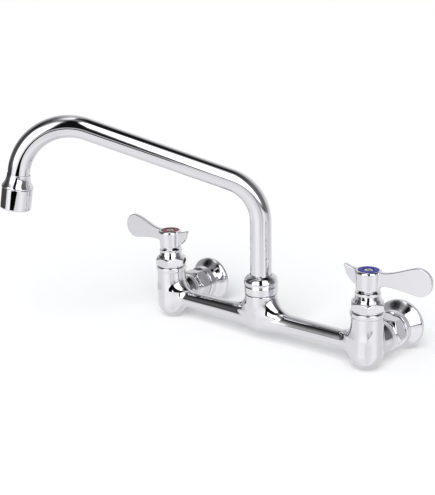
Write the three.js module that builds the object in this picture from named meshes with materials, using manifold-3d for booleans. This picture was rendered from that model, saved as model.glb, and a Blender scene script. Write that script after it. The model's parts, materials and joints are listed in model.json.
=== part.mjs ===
// Commercial wall faucet: two valve barrels on 8 inch centres, a cross conduit with a flared hub,
// and a tall gooseneck spout that swings on the hub. Millimetres, +Z up.
// Origin: on the wall, midway between the two supply inlets and level with them.
// -Y points out of the wall, +X to the cold side. Heights (..._Z) are above the inlet axes.

import * as THREE from 'three';
import { mergeVertices } from 'three/addons/utils/BufferGeometryUtils.js';
import Module from 'manifold-3d';

const wasm = await Module();
wasm.setup();

// ---------------------------------------------------------------- driving dimensions
const FIT = 0.3;                    // clearance between neighbouring pieces

// body casting
const INLET_SPACING = 203.2;        // 8 in, centre to centre
const WALL_TO_BODY = 57.15;         // wall to the plane of barrels and riser
const BARREL_TOP_R = 12.7;
const BARREL_LOW_R = 13.5;          // also the radius of the rounded bottom
const BARREL_TOP_Z = 28.6;
const DOME_CENTRE_Z = -5.7;         // centre of the rounded bottom
const BEAD_RISE = 0.9;              // bead round the barrel's mouth
const BEAD_HEIGHT = 3.6;
const CONDUIT_R = 7.2;
const BELLY_R = 10.9;               // conduit radius under the hub
const BELLY_REACH = 20;             // half length of the belly at half its rise
const BARREL_FILLET_TOP = 10;
const BARREL_FILLET_LOW = 6.5;
const BARREL_FILLET_SIDE = 6;
const HUB_R = 13.8;
const HUB_FILLET = 13.5;
const HUB_TOP_Z = 22.4;             // shoulder under the spout nut
const BOSS_R = 13.9;                // rear inlet boss
const BOSS_LENGTH = 24.5;           // barrel axis to the boss face
const BOSS_ROUND = 2.4;
const WATERWAY_R = 4.6;             // conduit bore
const INLET_BORE_R = 5.6;
const PASSAGE_R = 3;                // from a bore to the chamber above or below the seat

// valve chambers
const SEAT_WEB = 2.4;               // web that divides the chambers, halfway at the inlet axis
const SEAT_HOLE_R = 4.2;
const UPPER_CHAMBER_R = 8.5;
const LOWER_CHAMBER_R = 7;
const LOWER_CHAMBER_DEPTH = 12;
const SEAT_WASHER_T = 1.8;
const DISC_R = 6.4;
const DISC_T = 2.5;
const DISC_PORT_R = 2.1;
const DISC_PORT_OFFSET = 3.3;
const STEM_FOOT_T = 3;

// bonnet
const THREAD_R = 10.2;              // thread in the barrel's mouth
const THREAD_LENGTH = 8.6;
const SLEEVE_WALL = 1.3;
const BONNET_WASHER_T = 1;
const HEX_FLATS = 25;
const HEX_HEIGHT = 7;
const CONE_FOOT_R = 11.6;
const CONE_TOP_R = 9.8;
const CONE_HEIGHT = 5;
const NECK_RING_R = 10.1;
const NECK_RING_HEIGHT = 2.3;
const WINDOW_WIDTH = 5;

// stem
const STEM_R = 4.1;
const SPLINE_R = 3.5;
const SPLINE_TOOTH = 0.35;
const SPLINE_TEETH = 10;
const SPLINE_LENGTH = 10.4;
const SEAL_SECTION = 0.9;           // wire of the stem's seal ring
const SEAL_DROP = 14;               // bonnet top down to the seal ring
const CLIP_R = 5.6;
const CLIP_T = 0.8;
const CLIP_GROOVE = 0.8;

// handle
const HANDLE_GAP = 2;               // bonnet to handle
const HANDLE_HUB_R = 10.4;
const HANDLE_HUB_FOOT_R = 9.6;
const HANDLE_HUB_HEIGHT = 15.4;
const HANDLE_CAVITY_R = 7;
const HANDLE_CAVITY_DEPTH = 2.4;
const BLADE_T = 3.6;
const PADDLE_R = 10.9;
const PADDLE_OFFSET = 42;           // hub axis to the paddle's centre
const PADDLE_RISE = 13.2;           // hub foot to the paddle's centre
const FIN_LENGTH = 21;
const FIN_RISE = 17.4;
const FIN_BLUNT = 1.6;              // rounding of the fin's tip
const INDEX_R = 7.8;
const INDEX_INNER_R = 4.1;
const INDEX_T = 1.5;
const SCREW_HEAD_R = 3.6;
const SCREW_HEAD_T = 1.8;
const SCREW_R = 1.9;
const SCREW_LENGTH = 8;
const SCREW_SLOT = 0.9;

// inlets
const NUT_FLATS = 27;
const NUT_HEX_LENGTH = 13;
const NUT_NECK_LENGTH = 1.2;
const NUT_NECK_R = 13.2;
const NUT_LIP = 2.5;                // rear lip that pulls on the tailpiece's collar
const NIPPLE_R = 10.4;              // male thread of the boss, inside the nut
const NIPPLE_LENGTH = 6.6;
const INLET_WASHER_T = 2;
const COLLAR_R = 10.6;
const COLLAR_T = 2.8;
const TAIL_R = 8.2;
const TAIL_BORE_R = 5.8;
const TAIL_THREAD = 4.4;            // length screwed into the flange
const FLANGE_R = 20.85;
const FLANGE_RIM_T = 2.8;           // straight edge at the wall
const FLANGE_COLLAR_R = 15.4;
const FLANGE_COLLAR_SHARE = 0.54;    // of the bell's depth in front of its rim
const FLANGE_ROUND = 1.2;
const FLANGE_SHELL = 2.6;
const SOCKET_R = 9.3;               // female half inch pipe thread
const SOCKET_WALL = 3;

// spout
const SPOUT_REST_TURN = THREE.MathUtils.degToRad(-50.3);    // swung to the hot side
const TUBE_R = 9;
const TUBE_WALL = 1;
const TUBE_FOOT_Z = 20.5;
const RISER_TOP_Z = 85.2;           // end of the straight riser
const RISER_BEND_R = 38;
const ARM_RISE = THREE.MathUtils.degToRad(21.05);
const ARM_LENGTH = 121.6;           // straight part of the arm
const NECK_BEND_R = 42.5;
const OUTLET_LEAN = THREE.MathUtils.degToRad(10.1);
const OUTLET_STRAIGHT = 6;
const BEAD_R = 11.2;                // rolled bead that the spout nut holds down
const BEAD_T = 2.2;
const HUB_THREAD_R = 11.9;
const HUB_THREAD_LENGTH = 9.2;
const THRUST_WASHER_T = 1;
const SPIGOT_DEPTH = 12.2;          // brass spigot below the tube's end
const SPIGOT_ENGAGED = 7;
const SPIGOT_WALL = 1.6;
const SPIGOT_SEAL_SECTION = 1.5;

// spout nut
const SPOUT_NUT_R = 14.5;
const SPOUT_NUT_FOOT_R = 13.8;
const SPOUT_NUT_HEIGHT = 16.4;
const SPOUT_NUT_GROOVE_Z = 7.6;     // above the nut's foot
const SPOUT_NUT_GROOVE = 0.6;

// outlet, distances along its own axis from the end of the neck bend
const BELL_START = 2.4;
const BELL_LENGTH = 11.2;
const BELL_R = 12.8;
const BELL_SPIGOT_R = 10.6;
const BELL_SPIGOT_LENGTH = 5;
const SHELL_R = 12.4;
const SHELL_LENGTH = 17.6;
const SHELL_LIP_R = 9.6;
const SHELL_LIP_T = 1.6;
const AERATOR_WASHER_T = 1.6;
const INSERT_T = 7;
const SCREEN_T = 0.8;
const JET_R = 1.5;

// facets round a circle
const FINE = 16;
const COARSE = 10;                  // small and hidden pieces, and the waterways

// ---------------------------------------------------------------- materials
function material(color, metalness, roughness) {
  return new THREE.MeshStandardMaterial({ color, metalness, roughness });
}
const chrome = material(0xdfe1e6, 1, 0.06);
const brass = material(0xc9a558, 1, 0.32);
const steel = material(0xb9bcc0, 1, 0.3);
const ceramicWhite = material(0xf1efe9, 0, 0.25);
const ceramicGrey = material(0xd3d6da, 0, 0.25);
const rubber = material(0x1c1c1e, 0, 0.8);
const nylon = material(0xe9e8e2, 0, 0.5);
const redIndex = material(0xa3312c, 0, 0.35);
const blueIndex = material(0x2a33a8, 0, 0.35);

// ---------------------------------------------------------------- solids
// A closed three.js geometry as a solid whose faces point outwards.
function solid(geometry) {
  const bare = geometry.clone();
  for (const name of ['normal', 'uv']) bare.deleteAttribute(name);
  const merged = mergeVertices(bare, 1e-4);
  const position = merged.getAttribute('position');
  const corners = [0, 1, 2].map(() => new THREE.Vector3());
  const kept = [];
  let volume = 0;
  for (let i = 0; i < merged.index.count; i += 3) {
    const triangle = [0, 1, 2].map((k) => merged.index.getX(i + k));
    if (new Set(triangle).size < 3) continue;
    kept.push(triangle);
    triangle.forEach((vertex, k) => corners[k].fromBufferAttribute(position, vertex));
    volume += corners[0].dot(corners[1].clone().cross(corners[2]));
  }
  const turned = volume < 0 ? kept.map(([a, b, c]) => [a, c, b]) : kept;
  return new wasm.Manifold(new wasm.Mesh({
    numProp: 3,
    vertProperties: new Float32Array(position.array),
    triVerts: new Uint32Array(turned.flat()),
  }));
}

// A named mesh from a solid, placed in its parent.
function piece(parent, name, body, look, position = [0, 0, 0]) {
  const data = body.getMesh();
  const geometry = new THREE.BufferGeometry();
  geometry.setAttribute('position', new THREE.BufferAttribute(data.vertProperties, 3));
  geometry.setIndex(new THREE.BufferAttribute(data.triVerts, 1));
  geometry.computeVertexNormals();
  const mesh = new THREE.Mesh(geometry, look);
  mesh.name = name;
  mesh.position.set(...position);
  parent.add(mesh);
  return mesh;
}

// Revolve of [radius, height] points round +Z, from axis to axis or closed on itself.
function revolve(points, facets = FINE) {
  const profile = points.map(([r, z]) => new THREE.Vector2(r, z));
  return solid(new THREE.LatheGeometry(profile, facets).rotateX(Math.PI / 2));
}

// Ring or tube with one bore: the outer [radius, height] points from foot to top.
function sleeve(outer, boreR, facets = FINE) {
  const foot = outer[0][1];
  const top = outer[outer.length - 1][1];
  return revolve([[boreR, foot], ...outer, [boreR, top], [boreR, foot]], facets);
}

function ring(outerR, innerR, foot, top, facets = FINE) {
  return sleeve([[outerR, foot], [outerR, top]], innerR, facets);
}

function cylinder(radius, foot, top, facets = FINE) {
  return revolve([[0, foot], [radius, foot], [radius, top], [0, top]], facets);
}

function sealRing(centreR, section, z, facets = COARSE) {
  const points = [];
  for (let i = 0; i <= 6; i++) {
    const turn = i * Math.PI / 3;
    points.push([centreR + section / 2 * Math.cos(turn), z + section / 2 * Math.sin(turn)]);
  }
  return revolve(points, facets);
}

function box(width, depth, height, centre) {
  return solid(new THREE.BoxGeometry(width, depth, height).translate(...centre));
}

// Plate cut from an outline, standing on z = foot.
function plate(outline, foot, height, options = {}) {
  const settings = { depth: height, bevelEnabled: false, ...options };
  return solid(new THREE.ExtrudeGeometry(outline, settings).translate(0, 0, foot));
}

// Outline from points, with points that fall together kept once.
function withoutDoubles(points) {
  const near = (a, b) => a.distanceTo(b) < 0.01;
  return new THREE.Shape(points.filter((point, i) => !near(point, points.at(i - 1))));
}

function hexagon(flats) {
  const corner = flats / Math.sqrt(3);
  const points = [];
  for (let i = 0; i < 6; i++) {
    const turn = i * Math.PI / 3;
    points.push(new THREE.Vector2(corner * Math.cos(turn), corner * Math.sin(turn)));
  }
  return new THREE.Shape(points);
}

// Hex bar with its corners turned down to a round face at both ends.
function chamferedHex(flats, foot, height, footChamfer, topChamfer) {
  const corner = flats / Math.sqrt(3);
  const faceR = flats / 2 * 0.97;
  const turned = revolve([
    [0, foot], [footChamfer ? faceR : corner + 1, foot],
    [corner + 0.01, foot + footChamfer], [corner + 0.01, foot + height - topChamfer],
    [topChamfer ? faceR : corner + 1, foot + height], [0, foot + height],
  ]);
  return plate(hexagon(flats), foot, height).intersect(turned);
}

// Skin over rings of points that all have the same count, closed by a fan at each end.
function loft(rings) {
  const count = rings[0].length;
  const points = rings.flat();
  const faces = [];
  for (let i = 0; i + 1 < rings.length; i++) {
    for (let k = 0; k < count; k++) {
      const a = i * count + k;
      const b = i * count + (k + 1) % count;
      faces.push(a, b, b + count, a, b + count, a + count);
    }
  }
  const ends = [[0, 1], [rings.length - 1, -1]];
  for (const [row, side] of ends) {
    const middle = points.length;
    const sum = rings[row].reduce((total, point) => total.add(point), new THREE.Vector3());
    points.push(sum.divideScalar(count));
    for (let k = 0; k < count; k++) {
      const a = row * count + k;
      const b = row * count + (k + 1) % count;
      faces.push(...(side > 0 ? [middle, b, a] : [middle, a, b]));
    }
  }
  const geometry = new THREE.BufferGeometry().setFromPoints(points);
  geometry.setIndex(faces);
  return solid(geometry);
}

// How far a hollow fillet of this radius stands off a wall at a distance along it.
function filletRise(distance, radius) {
  if (distance >= radius) return 0;
  if (distance <= 0) return radius;
  return radius - Math.sqrt(radius ** 2 - (radius - distance) ** 2);
}

// Fillet of a rolled ball between the barrel and one line of the conduit, `across` to its side:
// how far from the barrel's axis it leaves the conduit, and where it meets the barrel.
function barrelFillet(conduitR, fillet, across) {
  const ballR = BARREL_TOP_R + fillet;
  const leaves = Math.sqrt(ballR ** 2 - ((conduitR + fillet) * across) ** 2);
  return { leaves, meets: leaves * BARREL_TOP_R / ballR };
}

// ---------------------------------------------------------------- levels of the valve
const inletX = INLET_SPACING / 2;
const chamberFloorZ = SEAT_WEB / 2;
const seatWasherZ = chamberFloorZ + FIT;
const fixedDiscZ = seatWasherZ + SEAT_WASHER_T + FIT;
const movingDiscZ = fixedDiscZ + DISC_T + FIT;
const stemFootZ = movingDiscZ + DISC_T + FIT;
const stemShoulderZ = stemFootZ + STEM_FOOT_T;
const hexFootZ = BARREL_TOP_Z + BONNET_WASHER_T + 2 * FIT;
const hexTopZ = hexFootZ + HEX_HEIGHT;
const bonnetTopZ = hexTopZ + CONE_HEIGHT + NECK_RING_HEIGHT;
const handleFootZ = bonnetTopZ + HANDLE_GAP;
const handleTopZ = handleFootZ + HANDLE_HUB_HEIGHT;
const indexFloorZ = handleTopZ - INDEX_T - FIT;
const screwSeatZ = indexFloorZ;
const splineFootZ = handleFootZ + HANDLE_CAVITY_DEPTH - 1;
const splineTopZ = splineFootZ + SPLINE_LENGTH;
const sealZ = bonnetTopZ - SEAL_DROP;
const mouthBoreR = THREAD_R + FIT;
const stemBoreR = STEM_R + FIT;
const sealBedR = STEM_R - 1.4;
const discBoreR = DISC_R + FIT;
const sleeveR = discBoreR + SLEEVE_WALL;

// levels of the spout's swivel
const hubThreadTopZ = HUB_TOP_Z + HUB_THREAD_LENGTH;
const thrustZ = hubThreadTopZ + FIT;
const beadZ = thrustZ + THRUST_WASHER_T + FIT;
const beadTopZ = beadZ + BEAD_T;
const nutFootZ = HUB_TOP_Z + FIT;
const nutTopZ = nutFootZ + SPOUT_NUT_HEIGHT;
const spoutBoreR = TUBE_R + FIT;
const spigotFootZ = TUBE_FOOT_Z - FIT - SPIGOT_DEPTH;
const socketFloorZ = spigotFootZ - FIT;
const spigotBoreR = TUBE_R - TUBE_WALL - FIT - SPIGOT_WALL;

// stations of an inlet, measured from the barrel axis towards the wall
const nippleEnd = BOSS_LENGTH + NIPPLE_LENGTH;
const inletWasherY = nippleEnd + FIT;
const collarY = inletWasherY + INLET_WASHER_T + FIT;
const lipY = collarY + COLLAR_T + FIT;
const nutStartY = BOSS_LENGTH + FIT;
const nutEndY = lipY + NUT_LIP;
const hexStartY = nutEndY - NUT_HEX_LENGTH;
const flangeFrontY = nutEndY + FIT;
const tailEndY = flangeFrontY + TAIL_THREAD;

// ---------------------------------------------------------------- body casting
// Axis of the conduit along X through the origin of this solid.
function bodyCasting() {
  const wallX = inletX - BARREL_TOP_R;
  const belly = (x) => (BELLY_R - CONDUIT_R) / (1 + (x / BELLY_REACH) ** 2);
  const stations = [0];
  const underHub = HUB_R * 0.8;
  const hubFilletEnd = HUB_R + HUB_FILLET * 0.85;
  for (let i = 1; i <= 4; i++) stations.push(underHub + (hubFilletEnd - underHub) * (i / 4) ** 1.4);
  stations.push(HUB_R + HUB_FILLET + 12, wallX - BARREL_FILLET_TOP * 1.5);
  for (let i = 0; i <= 3; i++) stations.push(wallX - BARREL_FILLET_TOP * (1 - i / 3) ** 1.7);
  const conduitEndX = inletX - barrelFillet(CONDUIT_R, BARREL_FILLET_SIDE, 1).meets;
  stations.push((wallX + conduitEndX) / 2, conduitEndX);
  const spine = [...stations.slice(1).reverse().map((x) => -x), ...stations];
  const conduit = loft(spine.map((x) => {
    const toAxis = inletX - Math.abs(x);
    const toHub = Math.abs(x) - HUB_R;
    const base = CONDUIT_R + belly(x);
    const points = [];
    for (let k = 0; k < FINE; k++) {
      const turn = k * 2 * Math.PI / FINE;
      const across = Math.cos(turn);
      const up = Math.sin(turn);
      const level = up > 0 ? BARREL_FILLET_TOP : BARREL_FILLET_LOW;
      const fillet = THREE.MathUtils.lerp(BARREL_FILLET_SIDE, level, up ** 2);
      const { leaves, meets } = barrelFillet(base, fillet, across);
      const radius = base + filletRise(Math.max(toAxis, meets) - leaves + fillet, fillet);
      const hubRise = up > 0 ? filletRise(toHub, HUB_FILLET) : 0;
      const height = Math.min(up * (radius + hubRise), HUB_TOP_Z - 1);
      points.push(new THREE.Vector3(x, across * radius, height));
    }
    return points;
  }));

  // hub: straight under the nut, drawn in to the rounded belly, with the thread above
  const hubPoints = [];
  for (let i = 0; i <= 4; i++) {
    const turn = -Math.PI / 2 + i * Math.PI / 8;
    hubPoints.push([BELLY_R * Math.cos(turn), BELLY_R * Math.sin(turn)]);
  }
  hubPoints[0][0] = 0;
  const drawn = HUB_TOP_Z * 0.7;
  for (let i = 1; i <= 3; i++) {
    const ease = 0.5 - 0.5 * Math.cos(i * Math.PI / 3);
    hubPoints.push([BELLY_R + (HUB_R - BELLY_R) * ease, drawn * i / 3]);
  }
  hubPoints.push([HUB_R, HUB_TOP_Z], [HUB_THREAD_R, HUB_TOP_Z],
    [HUB_THREAD_R, hubThreadTopZ], [0, hubThreadTopZ]);
  let body = conduit.add(revolve(hubPoints));

  // barrel with its rounded bottom and mouth bead
  const barrelPoints = [];
  for (let i = 0; i <= 5; i++) {
    const turn = -Math.PI / 2 + i * Math.PI / 10;
    const r = i ? BARREL_LOW_R * Math.cos(turn) : 0;
    barrelPoints.push([r, DOME_CENTRE_Z + BARREL_LOW_R * Math.sin(turn)]);
  }
  const beadFootZ = BARREL_TOP_Z - BEAD_HEIGHT;
  barrelPoints.push(
    [BARREL_TOP_R, beadFootZ - BEAD_RISE], [BARREL_TOP_R + BEAD_RISE, beadFootZ + BEAD_RISE * 0.3],
    [BARREL_TOP_R + BEAD_RISE, BARREL_TOP_Z - BEAD_RISE * 0.7], [BARREL_TOP_R, BARREL_TOP_Z],
    [0, BARREL_TOP_Z],
  );

  // rear boss, round-edged, with the male nipple for the coupling nut
  const bossPoints = [
    [0, 0], [BARREL_TOP_R * 0.86, 0], [BARREL_TOP_R * 0.86, BARREL_TOP_R * 0.8],
    [BOSS_R * 0.95, BOSS_LENGTH * 0.6], [BOSS_R, BOSS_LENGTH * 0.76],
    [BOSS_R, BOSS_LENGTH - BOSS_ROUND], [BOSS_R - BOSS_ROUND * 0.3, BOSS_LENGTH - BOSS_ROUND * 0.3],
    [BOSS_R - BOSS_ROUND, BOSS_LENGTH], [NIPPLE_R, BOSS_LENGTH], [NIPPLE_R, nippleEnd],
    [0, nippleEnd],
  ];

  for (const side of [-1, 1]) {
    const barrel = revolve(barrelPoints).translate([side * inletX, 0, 0]);
    const boss = revolve(bossPoints).rotate([-90, 0, 0]).translate([side * inletX, 0, 0]);
    body = body.add(barrel).add(boss);
  }

  // waterways
  const alongX = (radius, from, to, z) => cylinder(radius, from, to, COARSE)
    .rotate([0, 90, 0]).translate([0, 0, z]);
  const alongY = (radius, from, to, z) => cylinder(radius, from, to, COARSE)
    .rotate([-90, 0, 0]).translate([0, 0, z]);
  const conduitEnd = inletX - UPPER_CHAMBER_R - 1.5;
  const upperPassageZ = chamberFloorZ + PASSAGE_R + 0.8;
  body = body.subtract(alongX(WATERWAY_R, -conduitEnd, conduitEnd, 0));
  body = body.subtract(cylinder(spoutBoreR, socketFloorZ, hubThreadTopZ + 1));
  body = body.subtract(cylinder(WATERWAY_R + 0.4, 0, socketFloorZ + 1, COARSE));
  for (const side of [-1, 1]) {
    const at = (shape) => shape.translate([side * inletX, 0, 0]);
    body = body.subtract(at(cylinder(UPPER_CHAMBER_R, chamberFloorZ, BARREL_TOP_Z, COARSE)));
    body = body.subtract(at(cylinder(
      mouthBoreR, BARREL_TOP_Z - THREAD_LENGTH - FIT, BARREL_TOP_Z + 1)));
    body = body.subtract(at(cylinder(SEAT_HOLE_R, -SEAT_WEB, SEAT_WEB, COARSE)));
    body = body.subtract(at(cylinder(
      LOWER_CHAMBER_R, -LOWER_CHAMBER_DEPTH, -chamberFloorZ, COARSE)));
    body = body.subtract(at(alongY(INLET_BORE_R, UPPER_CHAMBER_R + 1.5, nippleEnd + 1, 0)));
    body = body.subtract(at(alongY(
      PASSAGE_R, 0, UPPER_CHAMBER_R + 3, -chamberFloorZ - PASSAGE_R - 0.4)));
    const passage = alongX(PASSAGE_R, -inletX, 3 - conduitEnd, upperPassageZ);
    body = body.subtract(side < 0 ? passage : passage.mirror([1, 0, 0]));
  }
  return body;
}

// ---------------------------------------------------------------- one valve, on its barrel's axis
function bonnet() {
  const outer = [
    [sleeveR, fixedDiscZ], [sleeveR, BARREL_TOP_Z - THREAD_LENGTH],
    [THREAD_R, BARREL_TOP_Z - THREAD_LENGTH], [THREAD_R, hexFootZ + 1],
    [CONE_FOOT_R, hexFootZ + 1], [CONE_FOOT_R, hexTopZ],
    [CONE_FOOT_R - 1.2, hexTopZ + CONE_HEIGHT * 0.4], [CONE_TOP_R, hexTopZ + CONE_HEIGHT],
    [NECK_RING_R, hexTopZ + CONE_HEIGHT + 0.3], [NECK_RING_R, bonnetTopZ - 0.5],
    [NECK_RING_R - 0.6, bonnetTopZ],
  ];
  const hex = chamferedHex(HEX_FLATS, hexFootZ, HEX_HEIGHT, 0.6, 1.6);
  const turned = revolve([[0, fixedDiscZ], ...outer, [0, bonnetTopZ]]);
  const discBore = cylinder(discBoreR, fixedDiscZ - 1, stemShoulderZ + FIT);
  const stemBore = cylinder(stemBoreR, stemShoulderZ, bonnetTopZ + 1, COARSE);
  const windowZ = (movingDiscZ + stemShoulderZ) / 2;
  const windows = box(
    2 * sleeveR + 2, WINDOW_WIDTH, stemShoulderZ - movingDiscZ - 2, [0, 0, windowZ]);
  const turnedHollow = turned.add(hex).subtract(discBore).subtract(stemBore);
  return turnedHollow.subtract(windows.subtract(cylinder(stemBoreR, -1, bonnetTopZ, COARSE)));
}

function portedDisc(foot) {
  let disc = cylinder(DISC_R, foot, foot + DISC_T, COARSE);
  for (const side of [-1, 1]) {
    const port = cylinder(DISC_PORT_R, foot - 1, foot + DISC_T + 1, 10);
    disc = disc.subtract(port.translate([side * DISC_PORT_OFFSET, 0, 0]));
  }
  return disc;
}

function splineOutline(grow) {
  const points = [];
  for (let i = 0; i < 2 * SPLINE_TEETH; i++) {
    const radius = (i % 2 ? SPLINE_R - SPLINE_TOOTH : SPLINE_R) + grow;
    const turn = i * Math.PI / SPLINE_TEETH;
    points.push(new THREE.Vector2(radius * Math.cos(turn), radius * Math.sin(turn)));
  }
  return new THREE.Shape(points);
}

function stem() {
  const clipFootZ = bonnetTopZ + FIT;
  const clipTopZ = clipFootZ + CLIP_T;
  const bedHalf = SEAL_SECTION / 2 + FIT;
  const grooveR = STEM_R - CLIP_GROOVE;
  const turned = revolve([
    [0, stemFootZ], [DISC_R, stemFootZ], [DISC_R, stemShoulderZ], [STEM_R, stemShoulderZ],
    [STEM_R, sealZ - bedHalf], [sealBedR, sealZ - bedHalf],
    [sealBedR, sealZ + bedHalf], [STEM_R, sealZ + bedHalf], [STEM_R, clipFootZ - FIT * 0.7],
    [grooveR, clipFootZ - FIT * 0.7], [grooveR, clipTopZ + FIT], [STEM_R, clipTopZ + FIT],
    [STEM_R, splineFootZ], [0, splineFootZ],
  ], COARSE);
  const spline = plate(splineOutline(0), splineFootZ - 0.5, SPLINE_LENGTH + 0.5);
  const screwHole = cylinder(
    SCREW_R + FIT, screwSeatZ - SCREW_LENGTH - 1, splineTopZ + 1, COARSE);
  return turned.add(spline).subtract(screwHole);
}

function stemClip() {
  const foot = bonnetTopZ + FIT;
  const inner = STEM_R - CLIP_GROOVE + FIT;
  const gap = box(2 * CLIP_R, 2 * inner * 0.8, 2 * CLIP_T, [CLIP_R, 0, foot + CLIP_T / 2]);
  return ring(CLIP_R, inner, foot, foot + CLIP_T, COARSE).subtract(gap);
}

// Blade and fin as one outline: x along the blade from the hub axis, y up from the hub's foot.
function bladeOutline() {
  const shape = new THREE.Shape();
  const shoulder = HANDLE_HUB_HEIGHT - 0.5;
  const lowNeck = PADDLE_RISE - PADDLE_R * 0.76;
  const enter = THREE.MathUtils.degToRad(100);
  const leave = -enter;
  const rim = (turn) => [
    PADDLE_OFFSET + PADDLE_R * Math.cos(turn), PADDLE_RISE + PADDLE_R * Math.sin(turn)];
  const [enterX, enterY] = rim(enter);
  const [leaveX, leaveY] = rim(leave);
  shape.moveTo(HANDLE_HUB_R, shoulder);
  shape.bezierCurveTo(
    HANDLE_HUB_R + 11, shoulder + 0.4, enterX - 9, enterY - 2.2, enterX, enterY);
  shape.absarc(PADDLE_OFFSET, PADDLE_RISE, PADDLE_R, enter, leave, true);
  shape.bezierCurveTo(
    leaveX - 8, leaveY + 1.4, PADDLE_OFFSET * 0.55, lowNeck + 0.2, PADDLE_OFFSET * 0.38, lowNeck);
  shape.quadraticCurveTo(HANDLE_HUB_R + 1, lowNeck - 0.2, HANDLE_HUB_FOOT_R - 1, lowNeck - 4);
  shape.lineTo(-HANDLE_HUB_FOOT_R + 1.2, 0.6);
  shape.quadraticCurveTo(-FIN_LENGTH * 0.72, FIN_RISE * 0.25, -FIN_LENGTH * 0.9, FIN_RISE * 0.55);
  shape.lineTo(-FIN_LENGTH, FIN_RISE - FIN_BLUNT);
  shape.quadraticCurveTo(-FIN_LENGTH, FIN_RISE, -FIN_LENGTH + FIN_BLUNT, FIN_RISE - FIN_BLUNT * 0.3);
  shape.quadraticCurveTo(-FIN_LENGTH * 0.7, shoulder, -HANDLE_HUB_R, shoulder);
  return withoutDoubles(shape.getPoints(5));
}

// Handle for the hot side: blade to -X. The cold one is the same piece turned round.
function handle() {
  const top = HANDLE_HUB_HEIGHT;
  const hub = revolve([
    [0, 0], [HANDLE_HUB_FOOT_R - 1, 0], [HANDLE_HUB_FOOT_R - 0.3, 0.5], [HANDLE_HUB_FOOT_R, 1.6],
    [HANDLE_HUB_R, top - 2.4], [HANDLE_HUB_R - 0.2, top - 1.2], [HANDLE_HUB_R - 0.8, top - 0.4],
    [HANDLE_HUB_R - 1.6, top], [0, top],
  ]);
  const bevel = BLADE_T * 0.2;
  const blade = new THREE.ExtrudeGeometry(bladeOutline(), {
    depth: BLADE_T - 2 * bevel, bevelEnabled: true, bevelSegments: 1,
    bevelThickness: bevel, bevelSize: bevel, bevelOffset: -bevel,
  });
  blade.translate(0, 0, bevel - BLADE_T / 2).rotateX(Math.PI / 2).rotateZ(Math.PI);
  const keepBelowTop = box(200, 200, 100, [0, 0, top + 50]).intersect(
    cylinder(HANDLE_HUB_R, top, top + 99));
  const bodySolid = hub.add(solid(blade).subtract(keepBelowTop));
  const indexRecess = cylinder(INDEX_R + FIT, indexFloorZ - handleFootZ, top + 1);
  const screwHole = cylinder(SCREW_R + FIT, -1, top + 1, COARSE);
  const cavity = cylinder(HANDLE_CAVITY_R, -1, HANDLE_CAVITY_DEPTH);
  const broach = plate(splineOutline(FIT), 0, splineTopZ + FIT - handleFootZ);
  return bodySolid.subtract(indexRecess).subtract(screwHole).subtract(cavity).subtract(broach);
}

function handleScrew() {
  const seat = screwSeatZ + FIT;
  const headTop = seat + SCREW_HEAD_T;
  const turned = revolve([
    [0, seat - SCREW_LENGTH], [SCREW_R, seat - SCREW_LENGTH], [SCREW_R, seat],
    [SCREW_HEAD_R, seat], [SCREW_HEAD_R, headTop - 0.6], [SCREW_HEAD_R * 0.6, headTop],
    [0, headTop],
  ], COARSE);
  const slotZ = headTop - 0.4;
  const slot = box(SCREW_HEAD_R * 1.2, SCREW_SLOT, 1.6, [0, 0, slotZ]);
  const cross = box(SCREW_SLOT, SCREW_HEAD_R * 1.2, 1.6, [0, 0, slotZ]);
  return turned.subtract(slot).subtract(cross);
}

// ---------------------------------------------------------------- one inlet, along its axis
// These are revolved with their axis up and then laid towards the wall by the inlet's group.
function couplingNut() {
  const boreR = Math.max(NIPPLE_R, COLLAR_R) + FIT;
  const neck = revolve([
    [0, nutStartY], [NUT_NECK_R - 1, nutStartY], [NUT_NECK_R, nutStartY + 1],
    [NUT_NECK_R, nutStartY + NUT_NECK_LENGTH], [NUT_NECK_R + 0.4, hexStartY + 1], [0, hexStartY + 1],
  ]);
  const hex = chamferedHex(NUT_FLATS, hexStartY, nutEndY - hexStartY, 2, 2);
  const bore = cylinder(boreR, nutStartY - 1, lipY);
  const lipBore = cylinder(TAIL_R + FIT, lipY - 1, nutEndY + 1);
  return neck.add(hex).subtract(bore).subtract(lipBore);
}

function tailpiece() {
  return sleeve([
    [COLLAR_R, collarY], [COLLAR_R, collarY + COLLAR_T], [TAIL_R, collarY + COLLAR_T],
    [TAIL_R, tailEndY],
  ], TAIL_BORE_R);
}

// Bell with a hollow back; its middle is the female socket for the supply pipe.
function wallFlange() {
  const back = WALL_TO_BODY;
  const rimY = back - FLANGE_RIM_T;
  const collarEndY = flangeFrontY + FLANGE_COLLAR_SHARE * (rimY - flangeFrontY);
  const outer = [
    [FLANGE_COLLAR_R - FLANGE_ROUND, flangeFrontY],
    [FLANGE_COLLAR_R - FLANGE_ROUND * 0.3, flangeFrontY + FLANGE_ROUND * 0.7],
    [FLANGE_COLLAR_R, collarEndY], [FLANGE_R - FLANGE_ROUND * 0.5, rimY - FLANGE_ROUND],
    [FLANGE_R, rimY], [FLANGE_R, back],
  ];
  // the hollow follows the cone, which slants by about 45 degrees, at the shell's thickness
  const hollow = sleeve([
    [FLANGE_COLLAR_R, collarEndY + FLANGE_SHELL * Math.SQRT2],
    [FLANGE_R - FLANGE_SHELL, rimY], [FLANGE_R - FLANGE_SHELL, back + 1],
  ], SOCKET_R + SOCKET_WALL);
  const bell = revolve([[0, flangeFrontY], ...outer, [0, back]]);
  const tailBore = cylinder(TAIL_R + FIT, flangeFrontY - 1, tailEndY + FIT);
  const socket = cylinder(SOCKET_R, tailEndY + FIT, back + 1);
  return bell.subtract(hollow).subtract(tailBore).subtract(socket);
}

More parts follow.
